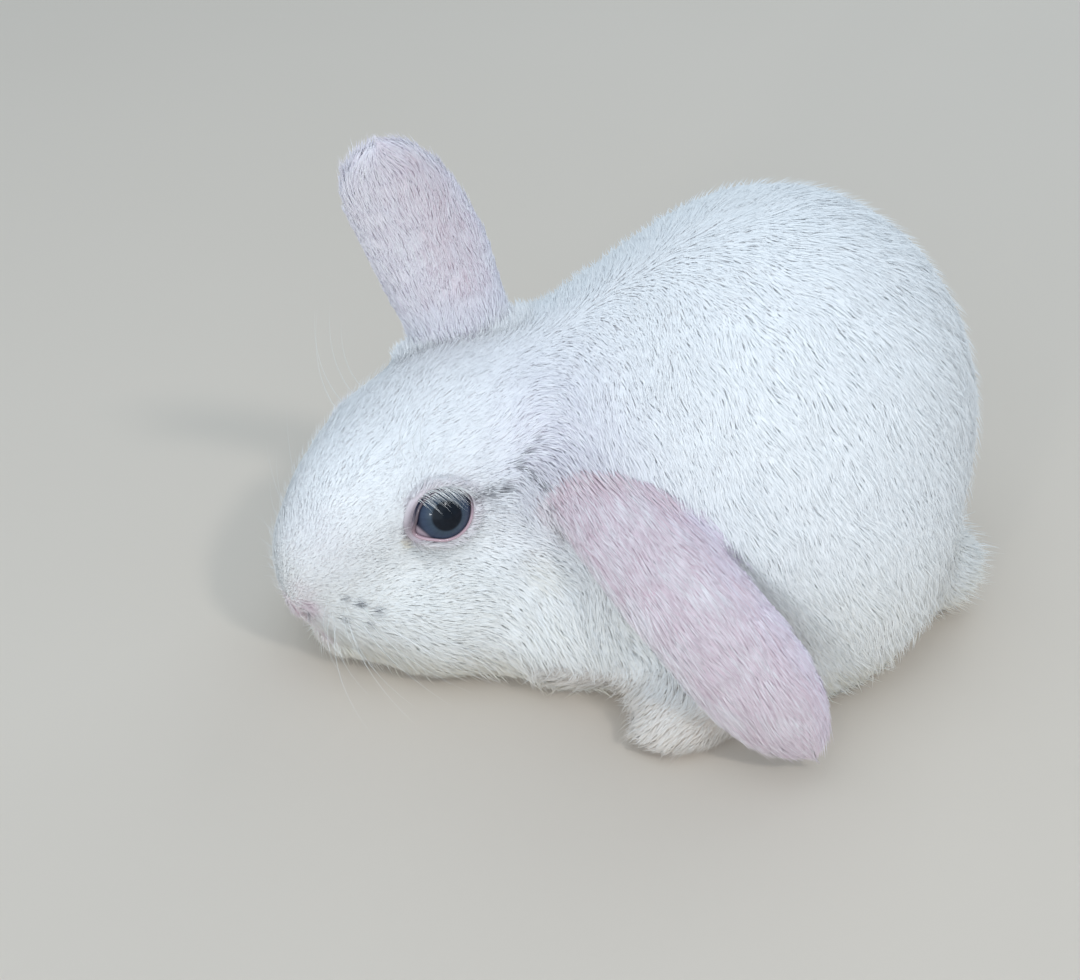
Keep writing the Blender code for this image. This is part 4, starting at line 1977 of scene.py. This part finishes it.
@dataclass
class Whiskers:
    """Whiskers of both sides in rows and columns, and hairs over the brows.

    Args:
        head: the head's axes.
        skin_points: the skin's vertices, in which the hairs are rooted.
        box: lowest and highest corner of the solids, in metres.
        rows: rows of whiskers on a side, and as many whiskers in each.
        steps: places along a hair.
        margin: how far a hair may reach past the box, in millimetres.
        least: lowest height of a hair over the floor.
    """

    head: HeadPose
    skin_points: Array
    box: tuple[Any, Any]
    rows: int = 4
    steps: int = 24
    margin: float = 5.0
    least: float = 0.3

    def make(self) -> bpy.types.Object:
        """Builds all of them as one piece.

        Returns:
            The whiskers' object.
        """
        head = self.head
        source = np.random.default_rng(SEED + 3)
        hairs = Strands("whiskers")
        for sign in (1.0, -1.0):
            for row, column in np.ndindex(self.rows, self.rows):
                wanted = head.place(29.0 - 3.0 * column, sign * (10.0 + 1.6 * column), -12.5 - 2.2 * row)
                heading = unit(head.turn([0.55 - 0.22 * column, sign * 0.75, 0.28 - 0.16 * row]))
                heading = unit(heading + source.normal(0.0, 0.08, 3))
                bend = head.turn([-0.35, sign * 0.10, -0.05 + 0.12 * (1.5 - row)])
                hairs.add(self.hair(wanted, heading, bend, source.uniform(22.0, 36.0)), 0.13)
            for number in range(self.rows):
                wanted = head.place(4.0 - 2.5 * number, sign * 13.0, 13.0)
                heading = unit(head.turn([0.25, sign * 0.35, 0.9]) + source.normal(0.0, 0.12, 3))
                bend = head.turn([-0.5, 0.1 * sign, 0.0])
                hairs.add(self.hair(wanted, heading, bend, source.uniform(16.0, 26.0)), 0.12)
        return lifted(hairs.make(), self.least)

    def hair(self, wanted: Array, heading: Array, bend: Array, length: float) -> Array:
        """A hair rooted next to a place, shortened so that it stays near the solids' own box.

        Args:
            wanted: where the root should be.
            heading: the way it starts.
            bend: the way it bends.
            length: its full length.

        Returns:
            Places along the hair.
        """
        curve = arc(nearest(self.skin_points, wanted), heading, bend, length, self.steps)
        low, high = (np.array(corner) / MM for corner in self.box)
        over = np.any((curve < low - self.margin) | (curve > high + self.margin), axis=1)
        if not over.any():
            return curve
        last = max(int(np.argmax(over)) - 1, 2)
        steps = np.linspace(0.0, last, self.steps)
        return np.stack([np.interp(steps, np.arange(self.steps), axis) for axis in curve.T], axis=1)


@dataclass
class Claws:
    """Short curved claws at the toes of each hind foot.

    Args:
        skin_points: the skin's vertices, in which the claws are rooted.
        toes: middle of each foot and which way it turns.
        offsets: places of the claws across a foot.
        height: height of the toes over the floor.
        length: a claw's length.
        width: its thickness at the root.
        least: lowest height of a claw over the floor.
    """

    skin_points: Array
    toes: tuple[Place, ...] = ((51.2, 5.2, 1.0), (-57.3, 7.2, -1.0))
    offsets: tuple[float, ...] = (-5.0, -1.8, 1.8, 5.0)
    height: float = 3.6
    length: float = 4.6
    width: float = 1.2
    least: float = 0.4

    def make(self) -> bpy.types.Object:
        """Builds the claws as one piece of tapered rods.

        Returns:
            The claws' object.
        """
        rods = Strands("claws")
        rise, droop = np.array([0.0, 0.0, 0.15]), np.array([0.0, 0.0, -0.55])
        for x, y, sign in self.toes:
            ahead = unit(np.array([0.375 * sign, -0.927, 0.0]))
            beside = np.array([-ahead[1], ahead[0], 0.0])
            middle = np.array([x, y, self.height])
            for step in self.offsets:
                wanted = middle + ahead * (13.0 - 0.08 * step**2) + beside * step
                root = nearest(self.skin_points, wanted) - ahead
                rods.add(arc(root, unit(ahead + rise), droop, self.length, 8), self.width)
        return lifted(rods.make(), self.least)


# ---------------------------------------------------------------- studio


@dataclass(frozen=True)
class Lamp:
    """A soft square light: its name, place and breadth in metres, power and colour."""

    name: str
    place: Place
    size: float
    power: float
    colour: Colour = (0.80, 0.91, 1.0)

    def make(self) -> None:
        """Puts the light up, pointing at the rabbit."""
        data = bpy.data.lights.new(self.name, "AREA")
        data.shape = "SQUARE"
        data.size = self.size
        data.energy = self.power
        data.color = self.colour
        made = put_object(self.name, data)
        target = np.array([0.0, 0.0, 0.05]) - np.array(self.place)
        made.location = self.place
        made.rotation_euler = Vector(target).to_track_quat("-Z", "Y").to_euler()


LAMPS = (
    Lamp("key", (1.30, -0.45, 0.50), 1.5, 7.4),
    Lamp("top", (0.10, -0.30, 1.30), 0.9, 2.2),
    Lamp("back", (-0.9, 0.7, 0.9), 0.8, 3.0),
    Lamp("spark_high", (0.70, 0.42, 0.93), 0.12, 2.6, (1.0, 1.0, 1.0)),
    Lamp("spark_front", (1.04, -0.61, 0.33), 0.12, 2.0, (1.0, 1.0, 1.0)),
)


@dataclass(frozen=True)
class Studio:
    """Pale floor, soft lights and the camera.

    Args:
        azimuth: the way the camera looks from, in degrees.
        elevation: how far it looks down, in degrees.
        lens: its focal length in millimetres.
        sensor: its sensor's breadth in millimetres.
        camera_place: its place in millimetres.
        floor_half: half the floor's breadth in millimetres.
        floor_lines: lines of the floor's grid each way.
        floor_colours: the two colours of the floor's clouds.
        sky: the world's colour.
        sky_strength: the world's brightness.
    """

    azimuth: float = 85.0
    elevation: float = 35.0
    lens: float = 52.9
    sensor: float = 36.0
    camera_place: Place = (307.69, -49.16, 249.0)
    floor_half: float = 2500.0
    floor_lines: int = 21
    floor_colours: tuple[Colour, Colour] = ((0.66, 0.58, 0.50), (0.70, 0.62, 0.54))
    sky: Colour = (0.74, 0.88, 1.0)
    sky_strength: float = 0.60

    def floor(self) -> None:
        """A large flat floor, a grid in two directions."""
        lines = self.floor_lines
        size = np.linspace(-self.floor_half, self.floor_half, lines)
        x, y = np.meshgrid(size, size)
        points = np.stack([x.ravel(), y.ravel(), np.zeros(x.size)], axis=1)
        index = np.arange(lines * lines).reshape(lines, lines)
        corners = [index[:-1, :-1], index[:-1, 1:], index[1:, 1:], index[1:, :-1]]
        made = surface_object("studio_floor", points, np.stack(corners, axis=-1).reshape(-1, 4))
        tree = Tree.new("studio_floor")
        colour = tree.blend(*self.floor_colours, tree.noise(3.0))
        made.data.materials.append(tree.finish({"Base Color": colour, "Roughness": 0.8}))
        made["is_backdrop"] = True

    def world(self) -> None:
        """An even pale sky."""
        world = bpy.data.worlds.new("studio")
        world.use_nodes = True
        sky = world.node_tree.nodes["Background"]
        sky.inputs["Color"].default_value = (*self.sky, 1.0)
        sky.inputs["Strength"].default_value = self.sky_strength
        bpy.context.scene.world = world

    def camera(self) -> None:
        """The camera, level and looking down at the rabbit."""
        data = bpy.data.cameras.new("camera")
        data.lens = self.lens
        data.sensor_width = self.sensor
        data.clip_start = 0.01
        camera = put_object("camera", data)
        camera.location = [value * MM for value in self.camera_place]
        camera.rotation_euler = (math.radians(90.0 - self.elevation), 0.0, math.radians(self.azimuth))
        bpy.context.scene.camera = camera

    def make(self) -> None:
        """Sets up floor, lights, world and camera."""
        self.floor()
        for lamp in LAMPS:
            lamp.make()
        self.world()
        self.camera()
        bpy.context.scene.view_settings.view_transform = "Standard"


def main() -> None:
    """Builds skin, coat, eyes, whiskers, claws and studio, in that order."""
    logging.basicConfig(level=logging.INFO, format="%(name)s %(relativeCreated)d %(message)s")
    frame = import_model()
    cad_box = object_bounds()
    head = HeadPose.from_eyes()
    eyes = (EyeFrame.on(head, "left"), EyeFrame.on(head, "right"))
    hide = Hide(head, eyes, (EarBlade.hanging(head), EarBlade.raised(head)))
    finish, eye_finish = FurFinish(), EyeFinish()

    skin_maker = Skin(hide)
    skin = skin_maker.make(frame)
    for name, values in hide.tints(mesh_points(skin.data)).items():
        add_layer(skin.data, name, values)
    skin.data.polygons.foreach_set("use_smooth", np.ones(len(skin.data.polygons), bool))
    dress(skin, finish.hide())
    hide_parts(*skin_maker.flesh, "ear_left", "ear_right")

    Coat(hide, skin).make(finish.coat())

    wet, edge = eye_finish.ball(), eye_finish.rim()
    pale = eye_finish.hair("rabbit_hair", (0.93, 0.93, 0.93))
    source = np.random.default_rng(SEED + 4)
    for one in eyes:
        maker = Eye(one, eye_finish)
        for piece, material in ((maker.ball(), wet), (maker.rim(), edge), (maker.lashes(source), pale)):
            dress(piece, material)
            if piece.name.startswith("eyeball"):
                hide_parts("eye_" + one.hand)

    whiskers = Whiskers(head, mesh_points(skin.data), cad_box).make()
    dress(whiskers, pale)

    claws = Claws(mesh_points(skin.data)).make()
    dress(claws, eye_finish.hair("rabbit_claw", (0.52, 0.44, 0.38)))

    Studio().make()


if __name__ == "__main__":
    main()
